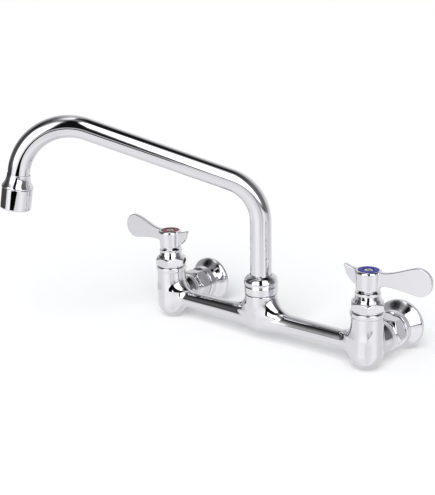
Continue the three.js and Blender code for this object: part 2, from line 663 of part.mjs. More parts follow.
function inlet(parent, name, nutTurn) {
  const group = new THREE.Group();
  group.rotation.x = -Math.PI / 2;
  parent.add(group);
  const nut = piece(group, `${name}_coupling_nut`, couplingNut(), chrome);
  nut.rotation.z = nutTurn;
  piece(group, `${name}_inlet_washer`, ring(
    NIPPLE_R - FIT, INLET_BORE_R, inletWasherY, inletWasherY + INLET_WASHER_T, COARSE), rubber);
  piece(group, `${name}_tailpiece`, tailpiece(), brass);
  piece(group, `${name}_wall_flange`, wallFlange(), chrome);
}

// ---------------------------------------------------------------- spout
// Plane curve of the spout in front of the riser: straight runs joined by two arcs. Its stations
// sit close together in the bends and only at the ends of the straight runs.
class SpoutPath extends THREE.Curve {
  constructor() {
    super();
    this.heading = Math.PI / 2;
    this.reach = 0;
    this.height = TUBE_FOOT_Z;
    this.stations = [];
    this.mark();
    this.run(RISER_TOP_Z - TUBE_FOOT_Z);
    this.bend(RISER_BEND_R, ARM_RISE, 5);
    this.run(ARM_LENGTH);
    this.bend(NECK_BEND_R, OUTLET_LEAN - Math.PI / 2, 9);
    this.end = { reach: this.reach, height: this.height };
    this.run(OUTLET_STRAIGHT);
  }

  mark() {
    const { reach, height, heading } = this;
    this.stations.push({ reach, height, heading });
  }

  run(length) {
    this.reach += length * Math.cos(this.heading);
    this.height += length * Math.sin(this.heading);
    this.mark();
  }

  bend(radius, endHeading, steps) {
    const turn = (this.heading - endHeading) / steps;
    for (let i = 0; i < steps; i++) {
      this.heading -= turn / 2;
      const chord = 2 * radius * Math.sin(turn / 2);
      this.reach += chord * Math.cos(this.heading);
      this.height += chord * Math.sin(this.heading);
      this.heading -= turn / 2;
      this.mark();
    }
  }

  station(t) {
    return this.stations[Math.round(t * (this.stations.length - 1))];
  }

  getPoint(t) {
    const { reach, height } = this.station(t);
    return new THREE.Vector3(0, -reach, height);
  }

  getTangent(t) {
    const { heading } = this.station(t);
    return new THREE.Vector3(0, -Math.cos(heading), Math.sin(heading));
  }

  getPointAt(t) {
    return this.getPoint(t);
  }

  getTangentAt(t) {
    return this.getTangent(t);
  }
}

function circleShape(radius) {
  const points = [];
  for (let i = 0; i < FINE; i++) {
    const turn = i * 2 * Math.PI / FINE;
    points.push(new THREE.Vector2(radius * Math.cos(turn), radius * Math.sin(turn)));
  }
  return points;
}

function spoutTube(path) {
  const section = new THREE.Shape(circleShape(TUBE_R));
  section.holes.push(new THREE.Path(circleShape(TUBE_R - TUBE_WALL).reverse()));
  const tube = solid(new THREE.ExtrudeGeometry(section, {
    steps: path.stations.length - 1, extrudePath: path, bevelEnabled: false,
  }));
  const bead = sleeve([
    [TUBE_R + 0.6, beadZ], [BEAD_R, beadZ + 0.3], [BEAD_R, beadTopZ - 0.5], [TUBE_R + 0.6, beadTopZ],
  ], TUBE_R - TUBE_WALL / 2);
  return tube.add(bead);
}

function spoutNut() {
  const foot = nutFootZ;
  const groove = foot + SPOUT_NUT_GROOVE_Z;
  const waist = (SPOUT_NUT_FOOT_R + SPOUT_NUT_R) / 2;
  const outer = [
    [SPOUT_NUT_FOOT_R - 0.5, foot], [SPOUT_NUT_FOOT_R, foot + 0.6], [waist, groove - 1.2],
    [waist, groove - SPOUT_NUT_GROOVE], [waist - SPOUT_NUT_GROOVE, groove],
    [SPOUT_NUT_R - 0.2, groove + SPOUT_NUT_GROOVE], [SPOUT_NUT_R, groove + 2],
    [SPOUT_NUT_R - 0.3, groove + 3.8], [SPOUT_NUT_R - 1, groove + 5.6],
    [SPOUT_NUT_R - 2.3, groove + 7.1], [SPOUT_NUT_R - 3.6, groove + 7.9], [spoutBoreR + 0.4, nutTopZ],
  ];
  const body = revolve([[0, foot], ...outer, [0, nutTopZ]]);
  const threadBore = cylinder(Math.max(HUB_THREAD_R, BEAD_R) + FIT, foot - 1, beadTopZ + FIT);
  const lipBore = cylinder(spoutBoreR, foot, nutTopZ + 1);
  return body.subtract(threadBore).subtract(lipBore);
}

function spoutSpigot() {
  const insideR = TUBE_R - TUBE_WALL - FIT;
  const headZ = spigotFootZ + SPIGOT_DEPTH;
  const bedR = TUBE_R - SPIGOT_SEAL_SECTION - FIT;
  const bedHalf = SPIGOT_SEAL_SECTION / 2 + FIT;
  const outer = [[TUBE_R - 0.6, spigotFootZ], [TUBE_R, spigotFootZ + 0.6]];
  for (const z of sealStations()) {
    outer.push([TUBE_R, z - bedHalf], [bedR, z - bedHalf], [bedR, z + bedHalf], [TUBE_R, z + bedHalf]);
  }
  outer.push([TUBE_R, headZ], [insideR, headZ], [insideR, headZ + SPIGOT_ENGAGED]);
  return sleeve(outer, spigotBoreR, COARSE);
}

function sealStations() {
  return [spigotFootZ + SPIGOT_DEPTH * 0.3, spigotFootZ + SPIGOT_DEPTH * 0.72];
}

function perforatedDisc(radius, top, thickness, holeR, rings) {
  let disc = cylinder(radius, top - thickness, top);
  for (const [ringR, count] of rings) {
    for (let i = 0; i < count; i++) {
      const turn = i * 2 * Math.PI / count;
      const hole = cylinder(holeR, top - thickness - 1, top + 1, 6);
      disc = disc.subtract(hole.translate([ringR * Math.cos(turn), ringR * Math.sin(turn), 0]));
    }
  }
  return disc;
}

// Outlet pieces hang from z = 0 at the end of the neck bend, in a group laid along the outlet.
function outlet(parent) {
  const bellFoot = -(BELL_START + BELL_LENGTH);
  const spigotFoot = bellFoot - BELL_SPIGOT_LENGTH;
  const tubeR = TUBE_R + FIT;
  const tubeEnd = -(OUTLET_STRAIGHT + FIT);
  const bell = revolve([
    [0, spigotFoot], [BELL_SPIGOT_R, spigotFoot], [BELL_SPIGOT_R, bellFoot],
    [BELL_R - 0.3, bellFoot], [BELL_R, bellFoot + 0.5], [BELL_R - 0.1, bellFoot + 1.4],
    [BELL_R - 0.9, bellFoot + BELL_LENGTH * 0.26], [BELL_R - 1.9, bellFoot + BELL_LENGTH * 0.48],
    [tubeR + 0.9, bellFoot + BELL_LENGTH * 0.74], [tubeR + 0.5, -BELL_START], [0, -BELL_START],
  ]);
  const bellHollow = bell.subtract(cylinder(tubeR, tubeEnd, 1))
    .subtract(cylinder(TUBE_R - TUBE_WALL, spigotFoot - 1, tubeEnd + 1));
  piece(parent, 'outlet_bell', bellHollow, chrome);

  const shellTop = bellFoot - FIT;
  const shellFoot = shellTop - SHELL_LENGTH;
  const shellBoreR = BELL_SPIGOT_R + FIT;
  const shell = revolve([
    [0, shellFoot], [SHELL_R - 0.8, shellFoot], [SHELL_R - 0.2, shellFoot + 0.3],
    [SHELL_R, shellFoot + 1], [SHELL_R, shellTop - 0.3], [SHELL_R - 0.3, shellTop], [0, shellTop],
  ]).subtract(cylinder(shellBoreR, shellFoot + SHELL_LIP_T, shellTop + 1))
    .subtract(cylinder(SHELL_LIP_R, shellFoot - 1, shellTop));
  piece(parent, 'aerator_shell', shell, chrome);

  const washerTop = spigotFoot - FIT;
  piece(parent, 'aerator_washer', ring(
    BELL_SPIGOT_R, TUBE_R - TUBE_WALL, washerTop - AERATOR_WASHER_T, washerTop, COARSE), rubber);
  const screenTop = washerTop - AERATOR_WASHER_T - FIT;
  piece(parent, 'aerator_screen', perforatedDisc(
    BELL_SPIGOT_R, screenTop, SCREEN_T, JET_R * 0.7, [[0, 1], [5.2, 7]]), steel);
  const insertTop = screenTop - SCREEN_T - FIT;
  const insertT = insertTop - (shellFoot + SHELL_LIP_T) - FIT;
  piece(parent, 'aerator_insert', perforatedDisc(
    BELL_SPIGOT_R, insertTop, Math.min(insertT, INSERT_T), JET_R, [[0, 1], [5.4, 8]]), nylon);
}

// ---------------------------------------------------------------- the faucet
const faucet = new THREE.Group();
faucet.name = 'commercial_wall_faucet';

const bodyFrame = new THREE.Group();
bodyFrame.position.y = -WALL_TO_BODY;
faucet.add(bodyFrame);
piece(bodyFrame, 'body_casting', bodyCasting(), chrome);

const valves = [
  { name: 'hot', side: -1, index: redIndex, nutTurn: THREE.MathUtils.degToRad(-7) },
  { name: 'cold', side: 1, index: blueIndex, nutTurn: THREE.MathUtils.degToRad(9) },
];
for (const { name, side, index, nutTurn } of valves) {
  const valve = new THREE.Group();
  valve.position.x = side * inletX;
  valve.rotation.z = side > 0 ? Math.PI : 0;
  bodyFrame.add(valve);
  piece(valve, `${name}_seat_washer`, ring(
    UPPER_CHAMBER_R - FIT, SEAT_HOLE_R, seatWasherZ, seatWasherZ + SEAT_WASHER_T, COARSE), rubber);
  piece(valve, `${name}_fixed_disc`, portedDisc(fixedDiscZ), ceramicWhite);
  piece(valve, `${name}_moving_disc`, portedDisc(movingDiscZ).rotate([0, 0, 90]), ceramicGrey);
  piece(valve, `${name}_bonnet_washer`, ring(
    BARREL_TOP_R - FIT, mouthBoreR, BARREL_TOP_Z + FIT, BARREL_TOP_Z + FIT + BONNET_WASHER_T), nylon);
  piece(valve, `${name}_bonnet`, bonnet(), chrome);
  piece(valve, `${name}_stem`, stem(), brass);
  piece(valve, `${name}_stem_seal`, sealRing(
    (sealBedR + stemBoreR) / 2, SEAL_SECTION, sealZ), rubber);
  piece(valve, `${name}_stem_clip`, stemClip(), steel);
  piece(valve, `${name}_handle`, handle(), chrome, [0, 0, handleFootZ]);
  piece(valve, `${name}_index_ring`, ring(
    INDEX_R, INDEX_INNER_R, indexFloorZ + FIT, indexFloorZ + FIT + INDEX_T), index);
  piece(valve, `${name}_handle_screw`, handleScrew(), steel);

  const inletFrame = new THREE.Group();
  inletFrame.position.x = side * inletX;
  bodyFrame.add(inletFrame);
  inlet(inletFrame, name, nutTurn);
}

const spout = new THREE.Group();
spout.rotation.z = SPOUT_REST_TURN;
bodyFrame.add(spout);
const path = new SpoutPath();
piece(spout, 'spout_tube', spoutTube(path), chrome);
piece(spout, 'spout_spigot', spoutSpigot(), brass);
sealStations().forEach((z, i) => {
  const name = `spout_seal_${i ? 'upper' : 'lower'}`;
  piece(spout, name, sealRing(TUBE_R - SPIGOT_SEAL_SECTION / 2, SPIGOT_SEAL_SECTION, z), rubber);
});
piece(bodyFrame, 'spout_thrust_washer', ring(
  HUB_THREAD_R, spoutBoreR, thrustZ, thrustZ + THRUST_WASHER_T), nylon);
piece(bodyFrame, 'spout_nut', spoutNut(), chrome);

const outletFrame = new THREE.Group();
outletFrame.position.set(0, -path.end.reach, path.end.height);
outletFrame.rotation.x = -OUTLET_LEAN;
spout.add(outletFrame);
outlet(outletFrame);

export default faucet;
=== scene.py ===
import json
import math

import bpy
import numpy as np
import openvdb
from mathutils import Matrix, Vector


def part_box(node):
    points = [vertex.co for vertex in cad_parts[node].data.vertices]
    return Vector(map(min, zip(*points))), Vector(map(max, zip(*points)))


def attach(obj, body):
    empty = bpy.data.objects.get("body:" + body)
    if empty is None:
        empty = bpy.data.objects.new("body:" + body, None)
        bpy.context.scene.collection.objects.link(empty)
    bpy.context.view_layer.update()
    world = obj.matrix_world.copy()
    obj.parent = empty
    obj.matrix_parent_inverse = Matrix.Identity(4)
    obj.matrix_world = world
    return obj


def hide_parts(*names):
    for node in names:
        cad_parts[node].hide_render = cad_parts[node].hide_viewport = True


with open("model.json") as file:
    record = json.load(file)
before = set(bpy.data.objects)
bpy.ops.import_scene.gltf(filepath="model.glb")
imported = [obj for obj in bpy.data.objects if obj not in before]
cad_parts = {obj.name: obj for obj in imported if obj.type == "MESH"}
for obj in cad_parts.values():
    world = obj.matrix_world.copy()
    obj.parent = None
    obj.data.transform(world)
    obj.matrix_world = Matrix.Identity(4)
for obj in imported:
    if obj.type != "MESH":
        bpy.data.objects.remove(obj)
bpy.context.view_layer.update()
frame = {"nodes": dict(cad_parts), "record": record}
scene = bpy.context.scene
MM = 0.001


def cad_box(node):
    """Lowest and highest corner of a CAD node, in mm."""
    return [[round(c / MM, 2) for c in corner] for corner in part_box(node)]


# ---------------------------------------------------------------- sizes shared with the solids
# All in mm: x from the spout's axis, y from the wall, z from the conduit's axis.
washer_low, washer_high = cad_box("cold_bonnet_washer")
INLET_X, BODY_Y = (round((a + b) / 2, 2) for a, b in zip(washer_low[:2], washer_high))
BARREL_TOP_R = 12.7
BARREL_LOW_R = 13.5
BARREL_TOP_Z = 28.6
DOME_Z = -5.7
CONDUIT_R = 7.2
BELLY_R = 10.9
BELLY_REACH = 20
HUB_R = 13.8
HUB_TOP_Z = 22.4
HUB_THREAD_R = 11.9
HUB_THREAD_TOP_Z = cad_box("body_casting")[1][2]
BOSS_R = 13.9
BOSS_LENGTH = 24.5
NIPPLE_R = 10.4
NIPPLE_END = 31.1
BONNET_FOOT_Z = 30.2
BONNET_TOP_Z = cad_box("cold_bonnet")[1][2]
HANDLE_FOOT_Z = cad_box("cold_handle")[0][2]
HANDLE_HEIGHT = 15.4
SPOUT_TURN = math.radians(-50.3)
TUBE_R = 9.0
TUBE_WALL = 1.0
(_, _, NUT_FOOT_Z), (_, _, NUT_TOP_Z) = cad_box("spout_nut")


# ---------------------------------------------------------------- materials
NOISE_SPAN = (0.3, 0.7)  # where most of a noise texture's values lie
PATCH_DETAIL, RELIEF_DETAIL = 4, 2


def finish(name, color, metallic, roughness, mottle, pits, waves=None, along=(1, 1, 1), **more):
    """A surface with its own unevenness, drawn by noise in the object's own coordinates.

    mottle: size of the patches (mm), their share of the colour, and how far the roughness strays.
    pits, waves: size and height (mm) of the fine and the broad unevenness of the surface.
    along: how often the texture repeats on each axis, for metal that was drawn or turned.
    """
    mat = bpy.data.materials.new(name)
    mat.use_nodes = True
    nodes, links = mat.node_tree.nodes, mat.node_tree.links
    shader = nodes["Principled BSDF"]
    shader.inputs["Metallic"].default_value = metallic
    for key, value in more.items():
        shader.inputs[key.replace("_", " ")].default_value = value
    spread = nodes.new("ShaderNodeMapping")
    spread.inputs["Scale"].default_value = along
    links.new(nodes.new("ShaderNodeTexCoord").outputs["Object"], spread.inputs["Vector"])

    def noise(size, detail):
        made = nodes.new("ShaderNodeTexNoise")
        made.inputs["Scale"].default_value = 1 / (size * MM)
        made.inputs["Detail"].default_value = detail
        links.new(spread.outputs["Vector"], made.inputs["Vector"])
        return made.outputs["Fac"]

    size, share, stray = mottle
    patches = noise(size, PATCH_DETAIL)
    ramp = nodes.new("ShaderNodeValToRGB")
    links.new(patches, ramp.inputs["Fac"])
    for stop, at, factor in zip(ramp.color_ramp.elements, NOISE_SPAN, (1 - share, 1 + share)):
        stop.position = at
        stop.color = (*(min(c * factor, 1) for c in color), 1)
    links.new(ramp.outputs["Color"], shader.inputs["Base Color"])
    spans = nodes.new("ShaderNodeMapRange")
    for key, value in zip(("From Min", "From Max", "To Min", "To Max"),
                          (*NOISE_SPAN, roughness - stray, roughness + stray)):
        spans.inputs[key].default_value = value
    links.new(patches, spans.inputs["Value"])
    links.new(spans.outputs["Result"], shader.inputs["Roughness"])
    normal = None
    for layer in (waves, pits):
        if layer:
            size, height = layer
            bump = nodes.new("ShaderNodeBump")
            bump.inputs["Strength"].default_value = 1
            bump.inputs["Distance"].default_value = height * MM
            links.new(noise(size, RELIEF_DETAIL), bump.inputs["Height"])
            if normal:
                links.new(normal, bump.inputs["Normal"])
            normal = bump.outputs["Normal"]
    links.new(normal, shader.inputs["Normal"])
    return mat


CHROME = (0.74, 0.735, 0.775)
chrome = finish("chrome", CHROME, metallic=1, roughness=0.025,
                mottle=(9, 0.012, 0.01), pits=(0.9, 0.0008), waves=(26, 0.1))
cast_chrome = finish("cast_chrome", CHROME, metallic=1, roughness=0.04,
                     mottle=(7, 0.015, 0.015), pits=(1.1, 0.001), waves=(22, 0.2))
spun_chrome = finish("spun_chrome", CHROME, metallic=1, roughness=0.04,
                     mottle=(7, 0.015, 0.015), pits=(1.1, 0.001), waves=(7, 0.14))
lever_chrome = finish("lever_chrome", CHROME, metallic=1, roughness=0.1,
                      mottle=(6, 0.012, 0.03), pits=(0.9, 0.0015), waves=(14, 0.06))
# Raw metal darkened to near black: part bare casting, part painted shade for the hollow under the
# handle.
shaded_bare_casting = finish("shaded_bare_casting", (0.06, 0.06, 0.065), metallic=1, roughness=0.5,
                      mottle=(4, 0.1, 0.1), pits=(0.4, 0.005))
brass = finish("brass", (0.72, 0.56, 0.30), metallic=1, roughness=0.3,
               mottle=(3, 0.06, 0.08), pits=(0.25, 0.006), along=(1, 6, 1))
# Brass darkened to near black: painted shade for the stems, which show in the gap under each
# handle.
greased_brass = finish("greased_brass", (0.09, 0.075, 0.055), metallic=1, roughness=0.45,
                       mottle=(2, 0.1, 0.1), pits=(0.3, 0.006))
steel = finish("steel", (0.72, 0.725, 0.74), metallic=1, roughness=0.14,
               mottle=(2, 0.05, 0.08), pits=(0.15, 0.004), along=(1, 1, 5))
ceramic_white = finish("ceramic_white", (0.88, 0.87, 0.84), metallic=0, roughness=0.25,
                       mottle=(1.5, 0.02, 0.06), pits=(0.2, 0.002))
ceramic_grey = finish("ceramic_grey", (0.64, 0.66, 0.68), metallic=0, roughness=0.25,
                      mottle=(1.5, 0.03, 0.06), pits=(0.2, 0.002))
rubber = finish("rubber", (0.03, 0.03, 0.03), metallic=0, roughness=0.7,
                mottle=(1.2, 0.25, 0.12), pits=(0.25, 0.015))
nylon = finish("nylon", (0.82, 0.82, 0.78), metallic=0, roughness=0.45,
               mottle=(2, 0.03, 0.08), pits=(0.4, 0.008))
ENAMEL = dict(metallic=0, roughness=0.35, mottle=(1.4, 0.15, 0.08), pits=(0.35, 0.008),
              Specular_IOR_Level=0.18)
red_index = finish("red_index", (0.16, 0.018, 0.02), **ENAMEL)
blue_index = finish("blue_index", (0.014, 0.018, 0.27), **ENAMEL)


# ---------------------------------------------------------------- mesh making
def place(turn=0.0, at=(0, 0, 0), tilt=0.0):
    """Points on a local +Z axis: tilted about X, turned about Z, then moved (mm)."""
    return (Matrix.Translation(Vector(at)) @ Matrix.Rotation(turn, 4, "Z")
            @ Matrix.Rotation(tilt, 4, "X"))


def shell(verts, faces, corner_normals):
    """A surface as arrays: corners (mm), faces as index lists, one normal for each face corner."""
    return {"v": np.asarray(verts, float), "f": faces, "n": np.asarray(corner_normals, float)}


def joined(*parts):
    """Several surfaces as one."""
    verts, faces, normals, start = [], [], [], 0
    for part in parts:
        verts.append(part["v"])
        faces += [[i + start for i in face] for face in part["f"]]
        normals.append(part["n"])
        start += len(part["v"])
    return shell(np.concatenate(verts), faces, np.concatenate(normals))


def moved(part, matrix):
    """The surface turned and shifted by a matrix in mm."""
    rows = np.array(matrix)
    return shell(part["v"] @ rows[:3, :3].T + rows[:3, 3], part["f"], part["n"] @ rows[:3, :3].T)


def piece(name, part, material, body, replaces):
    """A smooth piece that rides on a CAD body and stands for the CAD nodes in `replaces`."""
    mesh = bpy.data.meshes.new(name)
    mesh.from_pydata((part["v"] * MM).tolist(), [], part["f"])
    mesh.polygons.foreach_set("use_smooth", [True] * len(mesh.polygons))
    mesh.update()
    mesh.normals_split_custom_set(part["n"].tolist())
    mesh.materials.append(material)
    obj = bpy.data.objects.new(name, mesh)
    scene.collection.objects.link(obj)
    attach(obj, body)
    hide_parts(*replaces)
    return obj


def shade_bare_cavity(obj, material, axis, radius, top):
    """Give the faces within `radius` of an upright axis and below `top` a second material: dark
    bare metal, painted shade for the hollow.
    """
    obj.data.materials.append(material)
    for face in obj.data.polygons:
        x, y, z = (c / MM for c in face.center)
        if math.hypot(x - axis[0], y - axis[1]) < radius and z < top:
            face.material_index = 1


def rounded(points):
    """Profile with the corners that carry a third value rounded to that radius."""
    steps = 5
    side_share = 0.49  # the most of a side that one rounding takes
    out = []
    for i, point in enumerate(points):
        radius = point[2] if len(point) > 2 else 0
        here = np.array(point[:2], float)
        if not radius:
            out.append(here)
            continue
        before = np.array(points[i - 1][:2], float) - here
        after = np.array(points[(i + 1) % len(points)][:2], float) - here
        a, b = before / np.linalg.norm(before), after / np.linalg.norm(after)
        half = math.acos(np.clip(a @ b, -1, 1)) / 2
        back = min(radius / math.tan(half), side_share * np.linalg.norm(before),
                   side_share * np.linalg.norm(after))
        radius = back * math.tan(half)
        middle = here + (a + b) / np.linalg.norm(a + b) * radius / math.sin(half)
        start, end = here + a * back - middle, here + b * back - middle
        sweep = math.acos(np.clip(start @ end / radius ** 2, -1, 1))
        for k in range(steps + 1):
            t = k / steps
            out.append(middle + (math.sin((1 - t) * sweep) * start + math.sin(t * sweep) * end)
                       / math.sin(sweep))
    return out


def spline(points, per=6):
    """Smooth curve through points (Catmull-Rom)."""
    pts = [np.array(p, float) for p in points]
    pts = [2 * pts[0] - pts[1]] + pts + [2 * pts[-1] - pts[-2]]
    out = []
    for i in range(1, len(pts) - 2):
        p0, p1, p2, p3 = pts[i - 1:i + 3]
        for k in range(per):
            t = k / per
            out.append(0.5 * (2 * p1 + (p2 - p0) * t + (2 * p0 - 5 * p1 + 4 * p2 - p3) * t ** 2
                              + (3 * p1 - p0 - 3 * p2 + p3) * t ** 3))
    out.append(pts[-2])
    return [tuple(p) for p in out]


def lathe(profile, count=96):
    """Revolve of [radius, height] points round +Z.

    Where the profile turns by less than the crease angle, the longer face rules the shared normal.
    """
    crease, same_point, on_axis = math.radians(28), 1e-4, 1e-6
    pts = [np.array(p[:2], float) for p in profile]
    kept = [pts[0]]
    for p in pts[1:]:
        if np.linalg.norm(p - kept[-1]) > same_point:
            kept.append(p)
    closed = max(kept[0][0], kept[-1][0]) > on_axis
    if closed and np.linalg.norm(kept[0] - kept[-1]) < same_point:
        kept.pop()
    pts = np.array(kept)
    n = len(pts)
    segments = [(i, (i + 1) % n) for i in range(n if closed else n - 1)]
    flat = []  # the normal and length of each face
    for i, j in segments:
        d = pts[j] - pts[i]
        flat.append((np.array([d[1], -d[0]]) / np.linalg.norm(d), np.linalg.norm(d)))
    limit = math.cos(crease)

    def corner(s, other):
        normal, length = flat[s]
        if other is None or normal @ flat[other][0] < limit:
            return normal
        mixed = normal * length + flat[other][0] * flat[other][1]
        return mixed / np.linalg.norm(mixed)

    turn = np.arange(count) * 2 * math.pi / count
    cos, sin = np.cos(turn), np.sin(turn)
    verts, first = [], []
    for r, z in pts:
        first.append(len(verts))
        if r < on_axis:
            verts.append((0, 0, z))
        else:
            verts += [(r * c, r * s, z) for c, s in zip(cos, sin)]
    faces, normals = [], []
    for s, (i, j) in enumerate(segments):
        prev = s - 1 if (s or closed) else None
        following = (s + 1) % len(segments) if (s + 1 < len(segments) or closed) else None
        at_i, at_j = corner(s, prev), corner(s, following)
        lone_i, lone_j = pts[i][0] < on_axis, pts[j][0] < on_axis
        if lone_i and lone_j:
            continue
        for k in range(count):
            m = (k + 1) % count
            if lone_i:
                ring = [(first[i], at_i, k), (first[j] + m, at_j, m), (first[j] + k, at_j, k)]
            elif lone_j:
                ring = [(first[i] + k, at_i, k), (first[i] + m, at_i, m), (first[j], at_j, k)]
            else:
                ring = [(first[i] + k, at_i, k), (first[i] + m, at_i, m),
                        (first[j] + m, at_j, m), (first[j] + k, at_j, k)]
            faces.append([v for v, _, _ in ring])
            normals += [(nr[0] * cos[q], nr[0] * sin[q], nr[1]) for _, nr, q in ring]
    return shell(verts, faces, normals)


def implicit(field, low, high, voxel):
    """Surface where field(x, y, z) = 0, with its corners and normals taken from the field."""
    band, passes, reach = 4 * voxel, 4, 0.02
    least = 0.25  # the smallest squared slope that a pass divides by
    axes = [np.arange(lo, hi + voxel, voxel) for lo, hi in zip(low, high)]
    grid = np.meshgrid(*axes, indexing="ij")
    values = field(*grid).astype(np.float32)
    volume = openvdb.FloatGrid(float(band))
    volume.copyFromArray(np.clip(values, -band, band))
    points, quads = volume.convertToQuads(isovalue=0.0)
    p = np.array(points, float) * voxel + np.array([a[0] for a in axes])

    def slope(q):
        out = np.empty_like(q)
        for k in range(3):
            step = np.zeros(3)
            step[k] = reach
            out[:, k] = (field(*(q + step).T) - field(*(q - step).T)) / (2 * reach)
        return out

    for _ in range(passes):
        g = slope(p)
        move = field(*p.T)[:, None] * g / np.maximum((g * g).sum(1), least)[:, None]
        p -= np.clip(move, -voxel, voxel)
    g = slope(p)
    normals = g / np.linalg.norm(g, axis=1)[:, None]
    quads = np.array(quads, int)
    a, b, c = p[quads[:, 0]], p[quads[:, 1]], p[quads[:, 2]]
    facing = np.einsum("ij,ij->i", np.cross(b - a, c - a), normals[quads[:, 0]]).sum()
    if facing < 0:
        quads = quads[:, ::-1]
    return shell(p, quads.tolist(), normals[quads.ravel()])


def soft_min(a, b, k):
    """Union of two fields, with a fillet about k wide."""
    h = np.maximum(k - np.abs(a - b), 0) / k
    return np.minimum(a, b) - h * h * k / 4


def soft_max(a, b, k):
    """Overlap of two fields, with its edge rounded over about k."""
    return -soft_min(-a, -b, k)


def step_up(x, a, b):
    """0 before a, 1 after b, smooth between."""
    t = np.clip((x - a) / (b - a), 0, 1)
    return t * t * (3 - 2 * t)


# ---------------------------------------------------------------- body casting
HUB_GROWTH = (0, HUB_TOP_Z * 0.7)  # heights over which the belly widens to the hub
HUB_SINK = 1.0  # how much the hub's round foot is drawn into the belly
HUB_RISE = (-4, 3)  # heights over which the hub comes out to its full size
BOSS_NECK_R = 10.9
BOSS_GROWTH = (8, 18.5)  # from the barrel's axis, where the neck widens to the boss
HUB_EDGE, BARREL_EDGE, BOSS_EDGE = 0.5, 0.6, 3.2
BOSS_FILLET, CONDUIT_FILLET, HUB_FILLET = 2.2, 8, 4
CONDUIT_FILLET_ABOVE, CONDUIT_FILLET_BELOW = 4.5, -1.0  # added away from the conduit's axis
HUB_FILLET_ROUND, HUB_FILLET_ALONG = 2, 11  # added above the axis, and along the conduit
HUB_FILLET_GROWTH = (-1, 7)  # heights over which the hub's fillet widens
COLLAR_FOOT_Z = 24.0


def body_field(x, y, z):
    """Distance to the casting; x from the hub, y from the barrels' plane, z from the conduit."""
    ax = np.abs(x)
    belly = (BELLY_R - CONDUIT_R) / (1 + (ax / BELLY_REACH) ** 2)
    conduit = np.maximum(np.sqrt(y * y + z * z) - CONDUIT_R - belly, ax - INLET_X)

    rho = np.sqrt(x * x + y * y)
    swell = BELLY_R + (HUB_R - BELLY_R) * step_up(z, *HUB_GROWTH)
    hub = np.where(z > 0, rho - swell, np.sqrt(rho * rho + z * z) - BELLY_R)
    hub = soft_max(hub, z - HUB_TOP_Z, HUB_EDGE)

    bx = ax - INLET_X
    rho = np.sqrt(bx * bx + y * y)
    taper = BARREL_LOW_R + (BARREL_TOP_R - BARREL_LOW_R) * np.clip(
        (z - DOME_Z) / (BARREL_TOP_Z - DOME_Z), 0, 1)
    barrel = np.where(z > DOME_Z, rho - taper, np.sqrt(rho ** 2 + (z - DOME_Z) ** 2) - BARREL_LOW_R)
    barrel = soft_max(barrel, z - BARREL_TOP_Z, BARREL_EDGE)

    rho = np.sqrt(bx * bx + z * z)
    bulge = BOSS_NECK_R + (BOSS_R - BOSS_NECK_R) * step_up(y, *BOSS_GROWTH)
    boss = soft_max(rho - bulge, y - BOSS_LENGTH, BOSS_EDGE)
    boss = np.maximum(boss, -y)

    body = soft_min(barrel, boss, BOSS_FILLET)
    rise = np.clip(np.abs(z) / CONDUIT_R, 0, 1) ** 2
    wider = np.where(z > 0, CONDUIT_FILLET_ABOVE, CONDUIT_FILLET_BELOW)
    body = soft_min(body, conduit, CONDUIT_FILLET + wider * rise)
    hub = hub + HUB_SINK * (1 - step_up(z, *HUB_RISE))
    along = x * x / np.maximum(x * x + y * y, 1)
    wider = (HUB_FILLET_ROUND + HUB_FILLET_ALONG * along) * step_up(z, *HUB_FILLET_GROWTH)
    return soft_min(body, hub, HUB_FILLET + wider)


def casting():
    """The blended body with the hub's thread, the bosses' nipples and the barrels' collars."""
    room_x, room_front, room_back, room_below, room_above = 117.2, 15.8, 26.8, 21, 31
    parts = [implicit(body_field, (-room_x, -room_front, -room_below),
                      (room_x, room_back, room_above), voxel=0.8)]
    parts.append(lathe([(0, HUB_TOP_Z - 1), (HUB_THREAD_R, HUB_TOP_Z - 1),
                        (HUB_THREAD_R, HUB_THREAD_TOP_Z), (0, HUB_THREAD_TOP_Z)], 64))
    nipple = lathe([(0, BOSS_LENGTH - 2), (NIPPLE_R, BOSS_LENGTH - 2),
                    (NIPPLE_R, NIPPLE_END), (0, NIPPLE_END)], 64)
    inner, outer = BARREL_TOP_R - 1, BARREL_TOP_R + 0.9
    collar = lathe(rounded([
        (inner, COLLAR_FOOT_Z), (BARREL_TOP_R + 0.05, COLLAR_FOOT_Z, 0.5),
        (outer, COLLAR_FOOT_Z + 1.3, 0.6), (outer, BARREL_TOP_Z, 0.7), (inner, BARREL_TOP_Z),
        (inner, COLLAR_FOOT_Z)]))
    for side in (-1, 1):
        at = (side * INLET_X, 0, 0)
        parts += [moved(nipple, place(at=at, tilt=-math.pi / 2)), moved(collar, place(at=at))]
    return joined(*parts)


BODY = place(at=(0, BODY_Y, 0))
piece("casting", moved(casting(), BODY), cast_chrome, "body", ["body_casting"])


# ---------------------------------------------------------------- hexagons
def hex_field(flats, foot, top, foot_chamfer, top_chamfer, bore):
    """Field of an upright hexagon with its corners chamfered at both ends, and a round bore."""
    half, corner = flats / 2, flats / math.sqrt(3)
    chamfer_start, slope, side_edge, end_edge = 0.97, 0.72, 0.5, 0.35

    def chamfer(rho, past, depth):
        return (rho - half * chamfer_start) * slope + past * slope * (corner - half) / depth

    def field(x, y, z):
        prism = np.full_like(x, -1e9)
        for k in range(3):
            turn = math.radians(30 + 60 * k)
            side = np.abs(x * math.cos(turn) + y * math.sin(turn)) - half
            prism = soft_max(prism, side, side_edge)
        rho = np.sqrt(x * x + y * y)
        out = soft_max(prism, np.maximum(foot - z, z - top), end_edge)
        out = soft_max(out, chamfer(rho, z - top, top_chamfer), end_edge)
        out = soft_max(out, chamfer(rho, foot - z, foot_chamfer), end_edge)
        return np.maximum(out, bore - rho)

    return field


